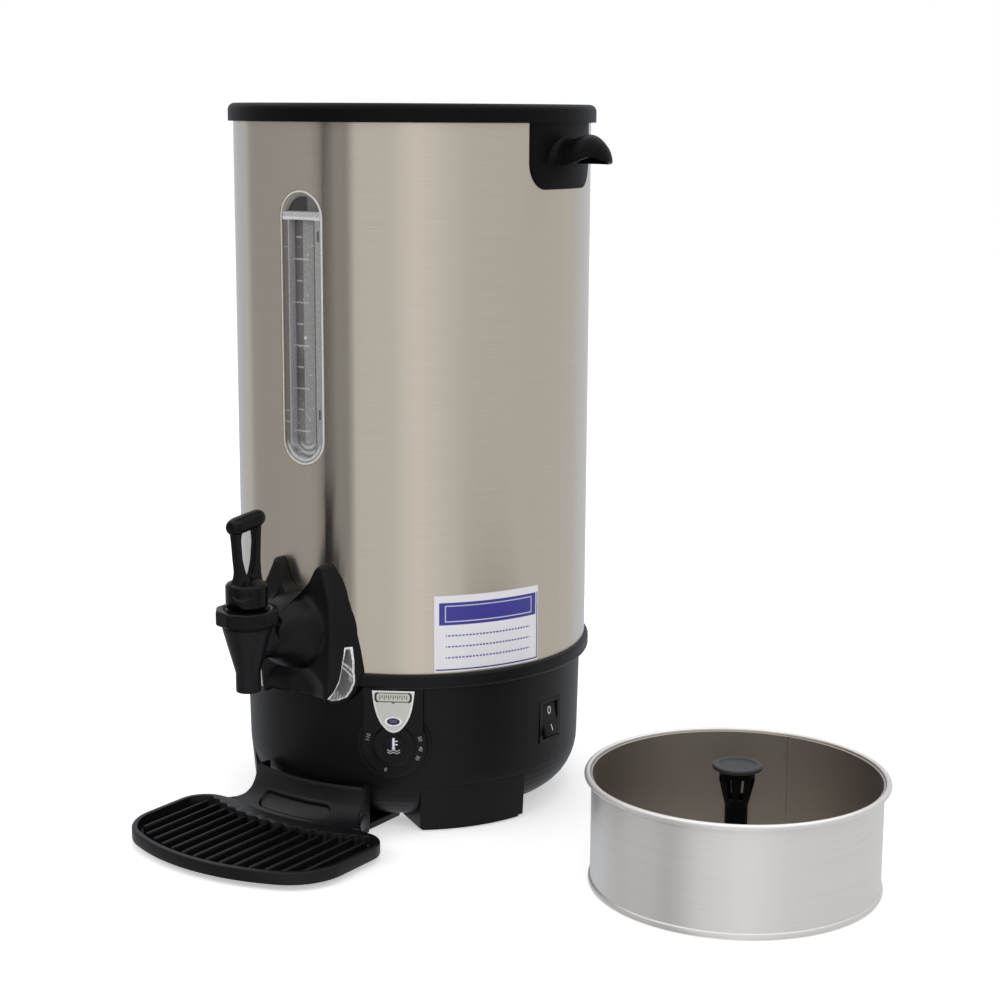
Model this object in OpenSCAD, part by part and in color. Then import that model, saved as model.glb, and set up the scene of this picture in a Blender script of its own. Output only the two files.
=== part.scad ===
// Electric coffee urn with a lever tap, a sight window, a removable drip tray and a percolator basket.
// Millimetres, +Z up. The origin is on the urn's axis, on the surface that it stands on.
// The tap faces -Y. Angles round the urn are counted from the tap towards +X.

/* [Body] */
// Outside diameter of the steel jacket
jacket_d = 264; // [256:1:272]
// Thickness of the jacket sheet
jacket_t = 0.8; // [0.6:0.1:1.2]
// Height of the whole urn, to the top of the collar
urn_h = 520.4; // [480:1:560]
// Height of the seam between the base and the jacket
seam_z = 121; // [119:1:125]

/* [Base] */
// Radius of the base wall under the lip
base_top_r = 128.4; // [127.4:0.1:129.4]
// Radius of the base wall above the bottom rounding
base_low_r = 127; // [126:0.1:127.4]
// Thickness of the base wall
base_wall = 3; // [2.4:0.1:3.6]
// Height of the underside above the table
under_z = 7; // [6.6:0.1:8]
// Height of the rounding at the bottom of the wall
bottom_round_h = 36; // [30:1:40]
// Depth of the rounding at the bottom of the wall
bottom_round_r = 28; // [24:1:30]
// How far the lip stands out past the jacket
lip_out = 3; // [2:0.1:4]
// Height of the lip
lip_h = 11; // [10:0.5:12]
// Outer radius of the foot blocks at their lower edge
foot_r = 123.4; // [121:0.1:124]
// Inner radius of the foot blocks
foot_inner_r = 92; // [88:1:96]
// Width of a foot block
foot_w = 82; // [70:1:88]
// Angle of the front feet from the tap
foot_angle = 57.7; // [54:0.1:60]
// Thickness of the rubber strips under the feet
pad_h = 2.4; // [2:0.1:3.2]
// Thickness of the bottom cover sheet
cover_t = 1.2; // [0.8:0.1:1.4]

/* [Collar and tank] */
// How far the collar stands out past the jacket
collar_out = 3.8; // [3:0.1:5]
// Height of the collar
collar_h = 12.9; // [12:0.1:15]
// Rounding of the collar's top edge
collar_round = 5; // [2:0.5:5]
// Air gap between the tank and the jacket
air_gap = 7.2; // [6.5:0.1:8]
// Thickness of the tank sheet
tank_t = 0.8; // [0.6:0.1:1]
// Height of the tank floor above the seam
tank_rise = 10; // [9:0.5:12]
// Depth of the lid's well below its flange
lid_depth = 26; // [20:1:30]

/* [Handles] */
// Angle of the right handle from the tap
handle_angle = 91.5; // [88:0.5:94]
// Angle that a handle's plate covers
handle_span = 34.4; // [30:0.2:38]
// Height of a handle's plate below the collar
handle_plate_h = 46; // [40:1:52]
// Thickness of a handle's plate
handle_plate_t = 1.9; // [1.5:0.1:3]
// Reach of a handle's grip past the jacket
grip_reach = 35; // [30:1:40]
// Width of a handle's grip
grip_w = 57; // [48:1:60]
// Depth of the hood over the fingers
grip_h = 19; // [16:1:22]

/* [Sight window] */
// Width of the window
window_w = 38.6; // [34:0.2:42]
// Height of the window
window_h = 194; // [150:1:210]
// Height of the window's centre above the seam
window_rise = 243.6; // [236:0.2:250]
// Width of the water channel inside the window
channel_w = 22; // [18:1:24]

/* [Tap] */
// Height of the tap's shank above the table
tap_z = 150; // [148:0.5:152]
// Distance from the jacket to the axis of the spout
tap_reach = 62.5; // [61:0.5:66]
// Height of the spout's mouth
spout_z = 117; // [110:0.5:122]
// Outside diameter of the spout tube
spout_d = 17; // [16:0.1:19]
// Bore of the spout
spout_bore = 10; // [8:0.5:11]
// Outside diameter of the shank
shank_d = 22; // [20:0.5:24]
// Bore of the shank
shank_bore = 12; // [9:0.5:13]
// Size of the ring nut across its corners
ring_nut_d = 42.5; // [41.5:0.1:44]
// Diameter of the lever's foot
lever_foot_d = 28.2; // [27:0.1:29]
// Height of the lever's grip bar above its pin
lever_h = 58; // [50:0.5:64]
// Length of the lever's grip bar
lever_bar_l = 31; // [28:0.5:34]
// Diameter of the lever's grip bar
lever_bar_d = 9.6; // [8:0.1:10]
// How far the lever tips
lever_tilt = 30; // [20:1:30]
// Diameter of the valve stem
stem_d = 5; // [4:0.1:6]
// Diameter of the lever's hinge pin
pin_d = 3; // [2:0.1:3.4]

/* [Tap shroud] */
// Half width of the shroud at its widest
shroud_half_w = 47.2; // [46:0.1:49]
// Height of the horn tips
shroud_top_z = 201; // [197:0.5:205]
// Distance of the front face from the jacket
shroud_front = 14.5; // [13:0.1:17]
// Thickness of the shroud wall
shroud_t = 2.6; // [2:0.1:3]
// Radius of the dome behind the tap
dome_r = 25; // [24:0.5:26]

/* [Controls] */
// Angle of the dial and the plate above it from the tap
dial_angle = 30; // [28:0.5:32]
// Height of the dial's centre
dial_z = 68; // [64:0.5:69]
// Radius of the dial's numbered skirt
dial_skirt_r = 24; // [22:0.5:25]
// Radius of the dial's raised centre
dial_r = 15.2; // [13:0.1:17]
// Width of the control plate
plate_w = 30.6; // [28:0.2:34]
// Height of the control plate
plate_h = 31; // [29:0.5:33]
// Angle of the power switch from the tap
switch_angle = 89; // [86:0.5:92]
// Height of the power switch's centre
switch_z = 70; // [66:0.5:74]
// How far the rocker tips from off to on
rocker_tilt = 24; // [16:1:26]

/* [Drip tray] */
// Half width of the tray
tray_half_w = 90; // [84:1:94]
// Reach of the tray's front edge past the jacket
tray_front = 124.8; // [116:0.2:130]
// Height of the tray's rim
tray_rim_z = 13.3; // [11:0.1:15]
// Width of the tray's neck
neck_w = 96; // [88:1:100]
// Height of the neck's upper edge
neck_top_z = 37.2; // [32:0.2:40]
// Number of ribs across the tray
rib_count = 14; // [10:2:16]
// Distance from rib to rib
rib_pitch = 11.4; // [10:0.1:12]

/* [Filter basket] */
// Outside radius of the basket's rolled rim
basket_rim_r = 103.1; // [100:0.1:106]
// Height of the basket's rim
basket_h = 78.2; // [70:0.1:90]
// Radius of the basket's wall
basket_r = 98.4; // [95:0.1:99]
// Distance that the basket stands to the right of the urn's axis
basket_x = 309.4; // [300:0.2:330]
// Distance that the basket stands to the front of the urn's axis
basket_front = 52.3; // [40:0.1:70]
// Outside diameter of the basket's riser column
column_d = 15.5; // [15:0.1:17]
// Outside diameter of the cap on the column
cap_d = 34; // [30:0.5:38]

/* [Hidden] */
$fn = 96;
fit = 0.15;   // clearance between pieces that fit into each other
gap = 0.3;    // clearance between pieces that move
over = 1;     // how far a cut runs past a face
fine = 240;   // roundness of the urn's own shells
steel = "#b9b5ac";
black = "#232325";

jacket_r = jacket_d / 2;
lip_r = jacket_r + lip_out;
lip_z = seam_z - lip_h;
ledge_z = seam_z - 9;
collar_r = jacket_r + collar_out;
collar_z = urn_h - collar_h;
jacket_top = urn_h - 7.4;
tank_r = jacket_r - jacket_t - air_gap;
tank_z = seam_z + tank_rise;
lid_seat_z = urn_h - 3.9;
lid_r = jacket_r - 7.4;
lid_well_r = jacket_r - 13;
opening_r = foot_inner_r - 8;
inner_ledge_r = base_top_r - base_wall;

// ---- shared shapes ----

// points along an elliptic arc
function arc(cx, cy, rx, ry, from, to, steps) = [
    for (i = [0:steps]) let (t = from + (to - from) * i / steps) [cx + rx * cos(t), cy + ry * sin(t)]
];

// turns what is built facing the tap to another angle round the urn
module facing(angle) { rotate([0, 0, angle]) children(); }

// pushes an outline drawn in X and Z outwards, from one distance from the axis to another
module outwards(from, to) {
    translate([0, -from, 0]) rotate([90, 0, 0]) linear_extrude(to - from) children();
}

// a round bar that points outwards
module stud(r, from, to, z = 0, x = 0) {
    translate([x, -from, z]) rotate([90, 0, 0]) cylinder(r = r, h = to - from);
}

module tube(r_in, r_out, z, h) {
    difference() {
        translate([0, 0, z]) cylinder(r = r_out, h = h, $fn = fine);
        translate([0, 0, z - over]) cylinder(r = r_in, h = h + 2 * over, $fn = fine);
    }
}

module stadium(w, h) {
    square([w, h - w], center = true);
    for (s = [-1, 1]) translate([0, s * (h - w) / 2]) circle(d = w);
}

module soft_rect(w, h, r) {
    square([w - 2 * r, h], center = true);
    square([w, h - 2 * r], center = true);
    for (x = [-1, 1], y = [-1, 1]) translate([x * (w / 2 - r), y * (h / 2 - r)]) circle(r = r);
}

// ---- base ----

// outline of the housing, moved outwards by a clearance or inwards by a wall
module housing_outline(out = 0, top = seam_z) {
    polygon(concat(
        [[0, under_z - out]],
        arc(base_low_r - bottom_round_r, under_z + bottom_round_h,
            bottom_round_r + out, bottom_round_h + out, -90, 0, 10),
        [[base_top_r + out, lip_z - 3], [base_top_r + out, top], [0, top]]));
}

module lip_outline(out = 0) {
    polygon(concat(
        [[inner_ledge_r, lip_z - 2 - out]],
        arc(lip_r - 3, lip_z + 3, 3 + out, 3 + out, -90, 0, 4),
        arc(lip_r - 2, seam_z - 2, 2 + out, 2 + out, 0, 90, 4),
        [[inner_ledge_r, seam_z + out]]));
}

// everything that the base and jacket fill, with a clearance round it
module body_space(out) {
    rotate_extrude($fn = fine) {
        housing_outline(out);
        lip_outline(out);
        translate([0, seam_z - over]) square([jacket_r + out, urn_h]);
    }
}

foot_angles = [foot_angle, 180, -foot_angle];
foot_top_z = under_z + 27;
foot_top_r = base_low_r - 0.8;
foot_hollow_top = under_z + 16;
pad_inset = 2.8;
dial_floor = base_low_r - 1.2;
skirt_back = base_low_r + 1.2;
skirt_front = skirt_back + 2;
brow_back = skirt_front + 0.3;
brow_front = brow_back + 2.1;
brow_low_z = dial_z + 9.5;
pod_half_w = plate_w / 2 + 6;
plate_top_z = lip_z - 1;
plate_tip_z = plate_top_z - plate_h;
recess_plane = base_low_r - 2;
switch_cut = [22, 27.6];
gland_z = 52;
gland_angle = 165;
cover_screw_ring = (opening_r + foot_inner_r) / 2 - 0.5;
cover_screw_angles = [60, 120, 180, 240, 300];
cover_screw_r = 1.4;
thermostat_plane = base_low_r - 7;

// a block between two radii with parallel ends, its outer face leaning out upwards
module foot_block(r_in, r_low, r_high, w, z, h) {
    intersection() {
        difference() {
            translate([0, 0, z]) cylinder(r1 = r_low, r2 = r_high, h = h, $fn = fine);
            translate([0, 0, z - over]) cylinder(r = r_in, h = h + 2 * over, $fn = fine);
        }
        translate([-w / 2, -jacket_r - over, z - over]) cube([w, jacket_r, h + 2 * over]);
    }
}

module base_housing() {
    color(black) difference() {
        union() {
            rotate_extrude($fn = fine) {
                housing_outline();
                lip_outline();
            }
            for (a = foot_angles) facing(a)
                foot_block(foot_inner_r, foot_r, foot_top_r, foot_w, pad_h, foot_top_z - pad_h);
            facing(dial_angle) {
                stud(dial_skirt_r + 2.5, thermostat_plane, skirt_back, dial_z);
                outwards(thermostat_plane, brow_front)
                    translate([-pod_half_w, brow_low_z]) square([2 * pod_half_w, lip_z + 1 - brow_low_z]);
            }
        }
        // the hollow inside, with the ledge that the jacket stands on
        difference() {
            rotate_extrude($fn = fine) {
                housing_outline(-base_wall, ledge_z);
                translate([0, ledge_z - over]) square([inner_ledge_r, 2 * over]);
                translate([0, ledge_z]) square([jacket_r + fit, seam_z - ledge_z + over]);
            }
            facing(dial_angle) outwards(thermostat_plane, base_low_r)
                translate([0, dial_z]) square([44, 36], center = true);
        }
        translate([0, 0, under_z - over]) cylinder(r = opening_r, h = base_wall + 2 * over);
        for (a = foot_angles) facing(a)
            foot_block(foot_inner_r + base_wall, foot_r - base_wall, foot_r - base_wall, foot_w - 2 * base_wall,
                pad_h + base_wall, foot_hollow_top - pad_h - base_wall);
        for (a = cover_screw_angles) facing(a)
            translate([0, -cover_screw_ring, 0]) cylinder(r = cover_screw_r, h = under_z + base_wall + 1);
        // dial pocket, shaft hole and the round gap under the brow
        facing(dial_angle) {
            stud(dial_skirt_r + gap, dial_floor, brow_back, dial_z);
            stud(dial_r + 0.5, dial_floor, brow_front + over, dial_z);
            stud(4.2, thermostat_plane - over, dial_floor + over, dial_z);
            for (s = [-1, 1]) stud(1.6, thermostat_plane - over, dial_floor + over, dial_z, s * 14);
        }
        // switch recess
        facing(switch_angle) {
            outwards(recess_plane, base_low_r + 8) translate([0, switch_z]) soft_rect(27, 33, 1.5);
            outwards(recess_plane - 10, base_low_r + 8)
                translate([0, switch_z]) square([switch_cut.x + 2 * fit, switch_cut.y + 2 * fit], center = true);
        }
        facing(gland_angle) stud(gland_thread_r + fit, base_low_r - 20, base_low_r + 20, gland_z);
        // way through for the lamp holders behind the shroud
        for (s = [-1, 1]) facing(s * lamp_angle) stud(lamp_sleeve_r + fit, inner_ledge_r - 8, lip_r + over, lamp_hole_z);
    }
}

module base_cover() {
    color("#8d9091") difference() {
        translate([0, 0, under_z - cover_t]) cylinder(r = foot_inner_r - gap, h = cover_t);
        for (a = cover_screw_angles) facing(a)
            translate([0, -cover_screw_ring, 0]) cylinder(r = cover_screw_r + 0.4, h = under_z + over);
        for (a = [0:45:315]) facing(a) translate([0, -45, under_z - cover_t - over])
            linear_extrude(cover_t + 2 * over) stadium(5, 34);
    }
}

module base_screws() {
    color("#9a9a98") for (a = cover_screw_angles) facing(a) translate([0, -cover_screw_ring, 0]) {
        translate([0, 0, under_z - cover_t - 1.6]) cylinder(r = 3.1, h = 1.6);
        translate([0, 0, under_z - cover_t - 0.1]) cylinder(r = cover_screw_r - 0.05, h = cover_t + base_wall);
    }
}

// rubber strips stuck under the foot blocks
module anti_slip_pads() {
    color("#303032") for (a = foot_angles) facing(a)
        foot_block(foot_inner_r + pad_inset, foot_r - pad_inset, foot_r - pad_inset, foot_w - 2 * pad_inset, 0, pad_h);
}

// ---- jacket, tank and collar ----

slot_w = window_w - 0.6;
slot_h = window_h - 0.6;
window_z = seam_z + window_rise;
shank_hole = shank_d / 2 + 0.3;

module outer_jacket() {
    color(steel) difference() {
        tube(jacket_r - jacket_t, jacket_r, ledge_z, jacket_top - ledge_z);
        outwards(tank_r, jacket_r + over) translate([0, window_z]) stadium(slot_w, slot_h);
        stud(shank_hole, tank_r, jacket_r + over, tap_z);
        for (a = [handle_angle, -handle_angle], s = [-1, 1]) facing(a + s * handle_screw_turn)
            stud(handle_screw_r + 0.3, tank_r, jacket_r + over, handle_screw_z);
        for (s = [-1, 1]) facing(s * lamp_angle) stud(lamp_sleeve_r + fit, tank_r, jacket_r + over, lamp_hole_z);
    }
}

flange_w = jacket_r - tank_r;
port_r = 3.5;
channel_h = slot_h - 26;

module inner_tank() {
    color("#c4c2bb") difference() {
        rotate_extrude() polygon(concat(
            [[0, tank_z - tank_t], [tank_r - 6, tank_z - tank_t]],
            arc(tank_r - 6, tank_z + 6 - tank_t, 6, 6, -90, 0, 4),
            [[tank_r, jacket_top], [jacket_r, jacket_top], [jacket_r, jacket_top + tank_t],
             [tank_r - tank_t, jacket_top + tank_t], [tank_r - tank_t, tank_z + 6 - tank_t]],
            arc(tank_r - 6, tank_z + 6 - tank_t, 6 - tank_t, 6 - tank_t, 0, -90, 4),
            [[0, tank_z]]));
        stud(shank_hole, tank_r - 8, tank_r + 4, tap_z);
        for (s = [-1, 1]) stud(port_r, tank_r - 8, tank_r + 4, window_z + s * (channel_h / 2 - 8));
    }
}

module top_collar() {
    color(black) rotate_extrude() polygon(concat(
        [[jacket_r + 2 * fit, collar_z], [collar_r, collar_z]],
        arc(collar_r - collar_round, urn_h - collar_round, collar_round, collar_round, 0, 90, 8),
        [[lid_r + gap, urn_h], [lid_r + gap, lid_seat_z], [lid_well_r + 2, lid_seat_z],
         [lid_well_r + 2, collar_z + 1.5], [tank_r - tank_t - fit, collar_z + 1.5],
         [tank_r - tank_t - fit, jacket_top + tank_t], [jacket_r + 2 * fit, jacket_top + tank_t]]));
}

// ---- handles ----

handle_z = collar_z - handle_plate_h;
handle_screw_r = 1.8;
handle_screw_l = 8;
handle_head_r = 3.6;
handle_head_h = 2.4;
handle_screw_turn = 5.2;
handle_boss_r = 3.8;
handle_screw_z = collar_z - 18.5;
grip_top_z = collar_z - 8.5;
plate_out = jacket_r + handle_plate_t;

// hood of the grip: the cap of a ball, open underneath
module grip_form(inset, below = 0) {
    ball_r = (pow(grip_w / 2, 2) + pow(grip_h, 2)) / (2 * grip_h);
    translate([0, -(jacket_r + grip_reach - grip_w / 2), grip_top_z - ball_r]) intersection() {
        rotate([90, 0, 0]) sphere(r = ball_r - inset);
        translate([-grip_w, -grip_w, ball_r - grip_h - below]) cube([2 * grip_w, 2 * grip_w, 2 * grip_h]);
    }
}

module handle() {
    corner = 12;
    color(black) difference() {
        union() {
            intersection() {
                tube(jacket_r, plate_out, handle_z, handle_plate_h);
                outwards(0, collar_r) polygon(concat(
                    [[jacket_r * sin(handle_span / 2), collar_z]],
                    arc(jacket_r * sin(handle_span / 2) - corner, handle_z + corner, corner, corner, 0, -90, 6),
                    arc(-jacket_r * sin(handle_span / 2) + corner, handle_z + corner, corner, corner, -90, -180, 6),
                    [[-jacket_r * sin(handle_span / 2), collar_z]]));
            }
            difference() {
                grip_form(0);
                grip_form(2.8, over);
                translate([0, 0, handle_z - 20]) cylinder(r = jacket_r, h = handle_plate_h + 60, $fn = fine);
            }
            // bosses for the screws, hidden under the hood
            for (s = [-1, 1]) facing(s * handle_screw_turn)
                stud(handle_boss_r, jacket_r + handle_plate_t / 2, jacket_r + 10, handle_screw_z);
        }
        for (s = [-1, 1]) facing(s * handle_screw_turn)
            stud(handle_screw_r + 0.05, jacket_r - over, jacket_r + handle_screw_l + 0.5, handle_screw_z);
    }
}

module handle_right() { facing(handle_angle) handle(); }
module handle_left() { facing(-handle_angle) handle(); }

// pan head screws put in from inside, before the tank
module handle_screws() {
    head_face = jacket_r - jacket_t - 0.06;
    color("#9a9a98") for (a = [handle_angle, -handle_angle], s = [-1, 1]) facing(a + s * handle_screw_turn) {
        stud(handle_screw_r, head_face - 1, jacket_r + handle_screw_l, handle_screw_z);
        stud(handle_head_r, head_face - handle_head_h, head_face, handle_screw_z);
    }
}

// ---- lid ----

lid_t = 0.9;
lid_floor_z = lid_seat_z - lid_depth;
knob_base_r = 14;
knob_h = lid_depth - 2.5;

module lid() {
    color("#c4c2bb") difference() {
        rotate_extrude() polygon([
            [0, lid_floor_z], [lid_well_r - 6, lid_floor_z], [lid_well_r, lid_floor_z + 6],
            [lid_well_r, lid_seat_z], [lid_r, lid_seat_z], [lid_r, lid_seat_z + lid_t],
            [lid_well_r - lid_t, lid_seat_z + lid_t], [lid_well_r - lid_t, lid_floor_z + 6.4],
            [lid_well_r - 6.4, lid_floor_z + lid_t], [0, lid_floor_z + lid_t]]);
        translate([0, 0, lid_floor_z - over]) cylinder(r = 2.2, h = 4);
        for (s = [-1, 1]) translate([0, s * 60, lid_floor_z - over]) cylinder(r = 2.5, h = 4);
    }
}

module lid_knob() {
    foot_z = lid_floor_z + lid_t;
    color(black) difference() {
        translate([0, 0, foot_z]) rotate_extrude() polygon(concat(
            [[0, 0], [knob_base_r, 0], [knob_base_r, 1.5], [9, 5], [8, 10]],
            arc(15, knob_h - 5, 5, 5, -90, 90, 8),
            [[0, knob_h]]));
        translate([0, 0, foot_z - over]) cylinder(r = 1.9, h = 12 + over);
    }
}

module lid_knob_screw() {
    color("#9a9a98") union() {
        translate([0, 0, lid_floor_z - 2.2]) cylinder(r = 4, h = 2.2);
        translate([0, 0, lid_floor_z - 0.1]) cylinder(r = 1.9, h = 10);
    }
}

// ---- sight window ----

window_back = tank_r + 1.5;
window_front = jacket_r + 0.3;
window_flange = window_back + 2;
gauge_nut_x = slot_w / 2 + 3;
gauge_nut_z = slot_h / 2 - 30;
gauge_stud_r = 1.5;

module gauge_window() {
    color([0.85, 0.88, 0.9, 0.45]) difference() {
        union() {
            intersection() {
                tube(window_back, window_front, window_z - slot_h, 2 * slot_h);
                outwards(0, collar_r) translate([0, window_z]) stadium(slot_w - 2 * fit, slot_h - 2 * fit);
            }
            intersection() {
                tube(window_back, window_flange, window_z - slot_h, 2 * slot_h);
                outwards(0, collar_r) translate([0, window_z]) stadium(slot_w + 13, slot_h + 5);
            }
        }
        intersection() {
            tube(window_back - over, window_front - 3, window_z - slot_h, 2 * slot_h);
            outwards(0, collar_r) translate([0, window_z]) square([channel_w, channel_h], center = true);
        }
        for (s = [-1, 1], t = [-1, 1])
            stud(gauge_stud_r + 0.2, tank_r - 4, jacket_r + over, window_z + t * gauge_nut_z, s * gauge_nut_x);
    }
}

module gauge_gasket() {
    color("#d8d8d4") difference() {
        intersection() {
            tube(tank_r + 0.05, window_back, window_z - slot_h, 2 * slot_h);
            outwards(0, collar_r) translate([0, window_z]) stadium(slot_w + 2, slot_h + 3);
        }
        outwards(0, collar_r) translate([0, window_z]) square([channel_w, channel_h], center = true);
        for (s = [-1, 1], t = [-1, 1])
            stud(gauge_stud_r + 0.4, tank_r - 4, jacket_r + over, window_z + t * gauge_nut_z, s * gauge_nut_x);
    }
}

// studs on the tank with the nuts that clamp the window's flange
module gauge_nuts() {
    color("#9a9a98") for (s = [-1, 1], t = [-1, 1]) intersection() {
        union() {
            stud(gauge_stud_r, tank_r - 4, window_flange + 2.2, window_z + t * gauge_nut_z, s * gauge_nut_x);
            difference() {
                stud(2.9, window_back - 2, window_flange + 1.8, window_z + t * gauge_nut_z, s * gauge_nut_x);
                cylinder(r = window_flange, h = urn_h, $fn = fine);
            }
        }
        tube(tank_r, jacket_r - jacket_t - 0.2, seam_z, urn_h - seam_z);
    }
}

// ---- tap shroud ----

shroud_low_z = 98.5;
scoop_r = 17;
scoop_z = shroud_low_z + 12;
face_r = jacket_r + shroud_front;
shroud_back = jacket_r - 32;
shroud_reach = jacket_r + 28;
nose = jacket_r + tap_reach - 23.5;
lamp_angle = 17;
lamp_hole_z = shroud_low_z + 25.5;
lamp_r = 3;
lamp_sleeve_r = 3.85;
lamp_back = jacket_r - 8.5;
lamp_out = 4;

// front view of one half and its mirror: horns at the top, a flat foot at the bottom
module shroud_front_view(inset) {
    for (s = [0, 1]) mirror([s, 0]) shroud_front_half(inset);
}

module shroud_front_half(inset) {
    w = shroud_half_w - inset;
    top = shroud_top_z - inset;
    foot = shroud_low_z + inset;
    polygon(concat(
        [[-0.01, foot], [w - 13, foot]],
        arc(w - 13, foot + 24, 13, 24, -90, 0, 6),
        [[w - 4, 145.4], [w - 11, 170.5]],
        arc(21.5, top - 4.5, 4.5, 4.5, 20, 180, 6),
        [[14, top - 11]],
        arc(-0.01, top - 11, 14, 9.5 + inset, -12, -90, 5)));
}

// plan view: a flat nose between two slopes that meet the jacket
module shroud_plan(inset) {
    half = shroud_half_w + 2.8;
    polygon([[-half - 4, -shroud_back], [-half + inset, 6 - jacket_r], [-dome_r + 1, inset - face_r],
        [dome_r - 1, inset - face_r], [half - inset, 6 - jacket_r], [half + 4, -shroud_back]]);
}

module shroud_form(inset) {
    intersection() {
        union() {
            intersection() {
                outwards(shroud_back, shroud_reach) shroud_front_view(inset);
                translate([0, 0, shroud_low_z - over])
                    linear_extrude(shroud_top_z - shroud_low_z + 20) shroud_plan(inset);
                // the horns lean back to the jacket
                rotate([90, 0, 90]) translate([0, 0, -shroud_half_w - 13]) linear_extrude(2 * shroud_half_w + 26)
                    polygon([[-shroud_back, shroud_low_z - 8], [inset + 4 - face_r, shroud_low_z - 8],
                        [inset - face_r, shroud_low_z + 10], [inset - face_r, tap_z + 10],
                        [inset - jacket_r - 4, shroud_top_z + 4], [-shroud_back, shroud_top_z + 4]]);
            }
            translate([0, -face_r, tap_z]) sphere(r = dome_r - inset);
        }
        outwards(shroud_back, nose - inset) translate([-shroud_half_w - 13, shroud_low_z - 18])
            square([2 * shroud_half_w + 26, shroud_top_z - shroud_low_z + 40]);
    }
}

// outline of the teardrop lens beside the tap: narrow above, hooked inwards below
module lens_outline(grow) {
    polygon(concat(
        arc(shroud_half_w - 7.4, lamp_hole_z + 14.6, 2.3 + grow, 2.3 + grow, 0, 180, 5),
        arc(shroud_half_w - 27.2, lamp_hole_z + 1, 16 - grow, 23.5 - grow, 0, -70, 7),
        arc(shroud_half_w - 16.2, lamp_hole_z - 9.6, 13.2 + grow, 13.8 + grow, -112, 0, 8)));
}

module shroud_scoop(grow) {
    outwards(jacket_r + 3, nose + 20) {
        translate([0, scoop_z]) circle(r = scoop_r - grow);
        translate([-scoop_r + grow, shroud_low_z - 10]) square([2 * (scoop_r - grow), scoop_z - shroud_low_z + 10]);
    }
}

module tap_shroud() {
    color(black) difference() {
        shroud_form(0);
        difference() {
            shroud_form(shroud_t);
            shroud_scoop(-shroud_t);
        }
        shroud_scoop(0);
        body_space(gap);
        stud(shank_hole, shroud_back, nose + over, tap_z);
        for (s = [0, 1]) mirror([s, 0, 0]) outwards(jacket_r - 22, shroud_reach) lens_outline(0);
    }
}

module indicator_lens() {
    color([0.8, 0.83, 0.85, 0.5]) intersection() {
        difference() {
            shroud_form(-0.4);
            shroud_form(shroud_t - 0.2);
            body_space(gap + 0.2);
        }
        outwards(jacket_r - 22, shroud_reach) lens_outline(-fit);
    }
}

module indicator_lens_right() { indicator_lens(); }
module indicator_lens_left() { mirror([1, 0, 0]) indicator_lens(); }

// neon lamps in their holders, between the tank and the lenses
module indicator_lamps() {
    for (s = [-1, 1]) facing(s * lamp_angle) {
        color("#5a2a20") stud(lamp_r, lamp_back, jacket_r + lamp_out, lamp_hole_z);
        color("#d8d8d4") difference() {
            stud(lamp_sleeve_r, lamp_back, jacket_r + 1, lamp_hole_z);
            stud(lamp_r, lamp_back - over, jacket_r + 1 + over, lamp_hole_z);
        }
    }
}

// ---- tap ----

tap_y = jacket_r + tap_reach;
cone_low_z = spout_z + 15;
cone_top_z = tap_z + 14.5;
cone_top_r = 17.3;
seat_z = tap_z - 9;
body_top_z = cone_top_z + 7.5;
nut_z = cone_top_z + 1.5;
nut_h = 10.2;
bonnet_z = body_top_z;
lever_rest_z = nut_z + nut_h + 0.3;
pin_z = lever_rest_z + 8.5;
lift = 4;
nut_lip_r = 15.6;
tap_wall = 2.2;
shank_end = tank_r - 20;
hex_nut_h = 6;
washer_t = 2;

module at_spout() { translate([0, -tap_y, 0]) children(); }

module tap_body() {
    color(black) difference() {
        union() {
            at_spout() {
                translate([0, 0, spout_z]) cylinder(d = spout_d, h = cone_low_z - spout_z);
                translate([0, 0, cone_low_z - 0.5])
                    cylinder(r1 = spout_d / 2 - 0.4, r2 = cone_top_r, h = cone_top_z - cone_low_z + 0.5);
                translate([0, 0, cone_top_z]) cylinder(r = cone_top_r - 0.6, h = body_top_z - cone_top_z);
            }
            stud(shank_d / 2, shank_end, tap_y - 3, tap_z);
            stud(shank_d / 2 + 3.5, nose + 0.02, nose + 3, tap_z);
        }
        at_spout() {
            translate([0, 0, spout_z - over]) cylinder(d = spout_bore, h = seat_z - spout_z + 2 * over);
            translate([0, 0, seat_z]) cylinder(r1 = 7.4, r2 = 14.2, h = cone_top_z - seat_z);
            translate([0, 0, cone_top_z - 0.01]) cylinder(r = 14.2, h = body_top_z - cone_top_z + over);
        }
        stud(shank_bore / 2, shank_end - over, tap_y - 4, tap_z + 1);
    }
}

// fills the air gap round the shank so that the tank isn't pulled in
module shank_spacer() {
    color("#3a3a3c") intersection() {
        difference() {
            stud(shank_d / 2 + 5, tank_r - 6, jacket_r, tap_z);
            stud(shank_d / 2 + fit, tank_r - 9, jacket_r + over, tap_z);
        }
        tube(tank_r, jacket_r - jacket_t, tap_z - 40, 80);
    }
}

module shank_washer() {
    color("#c8c4bc") intersection() {
        difference() {
            stud(shank_d / 2 + 3.6, tank_r - tank_t - 2.6 - washer_t, tank_r, tap_z);
            stud(shank_d / 2 + fit, tank_r - 12, tank_r + over, tap_z);
        }
        translate([0, 0, tap_z - 40]) cylinder(r = tank_r - tank_t - 0.1, h = 80, $fn = fine);
    }
}

module shank_nut() {
    nut_face = tank_r - tank_t - 2.6 - washer_t;
    color("#cfcdc8") difference() {
        translate([0, -(nut_face - hex_nut_h), tap_z]) rotate([90, 0, 0]) cylinder(r = 16.6, h = hex_nut_h, $fn = 6);
        stud(shank_d / 2 + 0.05, nut_face - hex_nut_h - over, nut_face + over, tap_z);
    }
}

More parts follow.
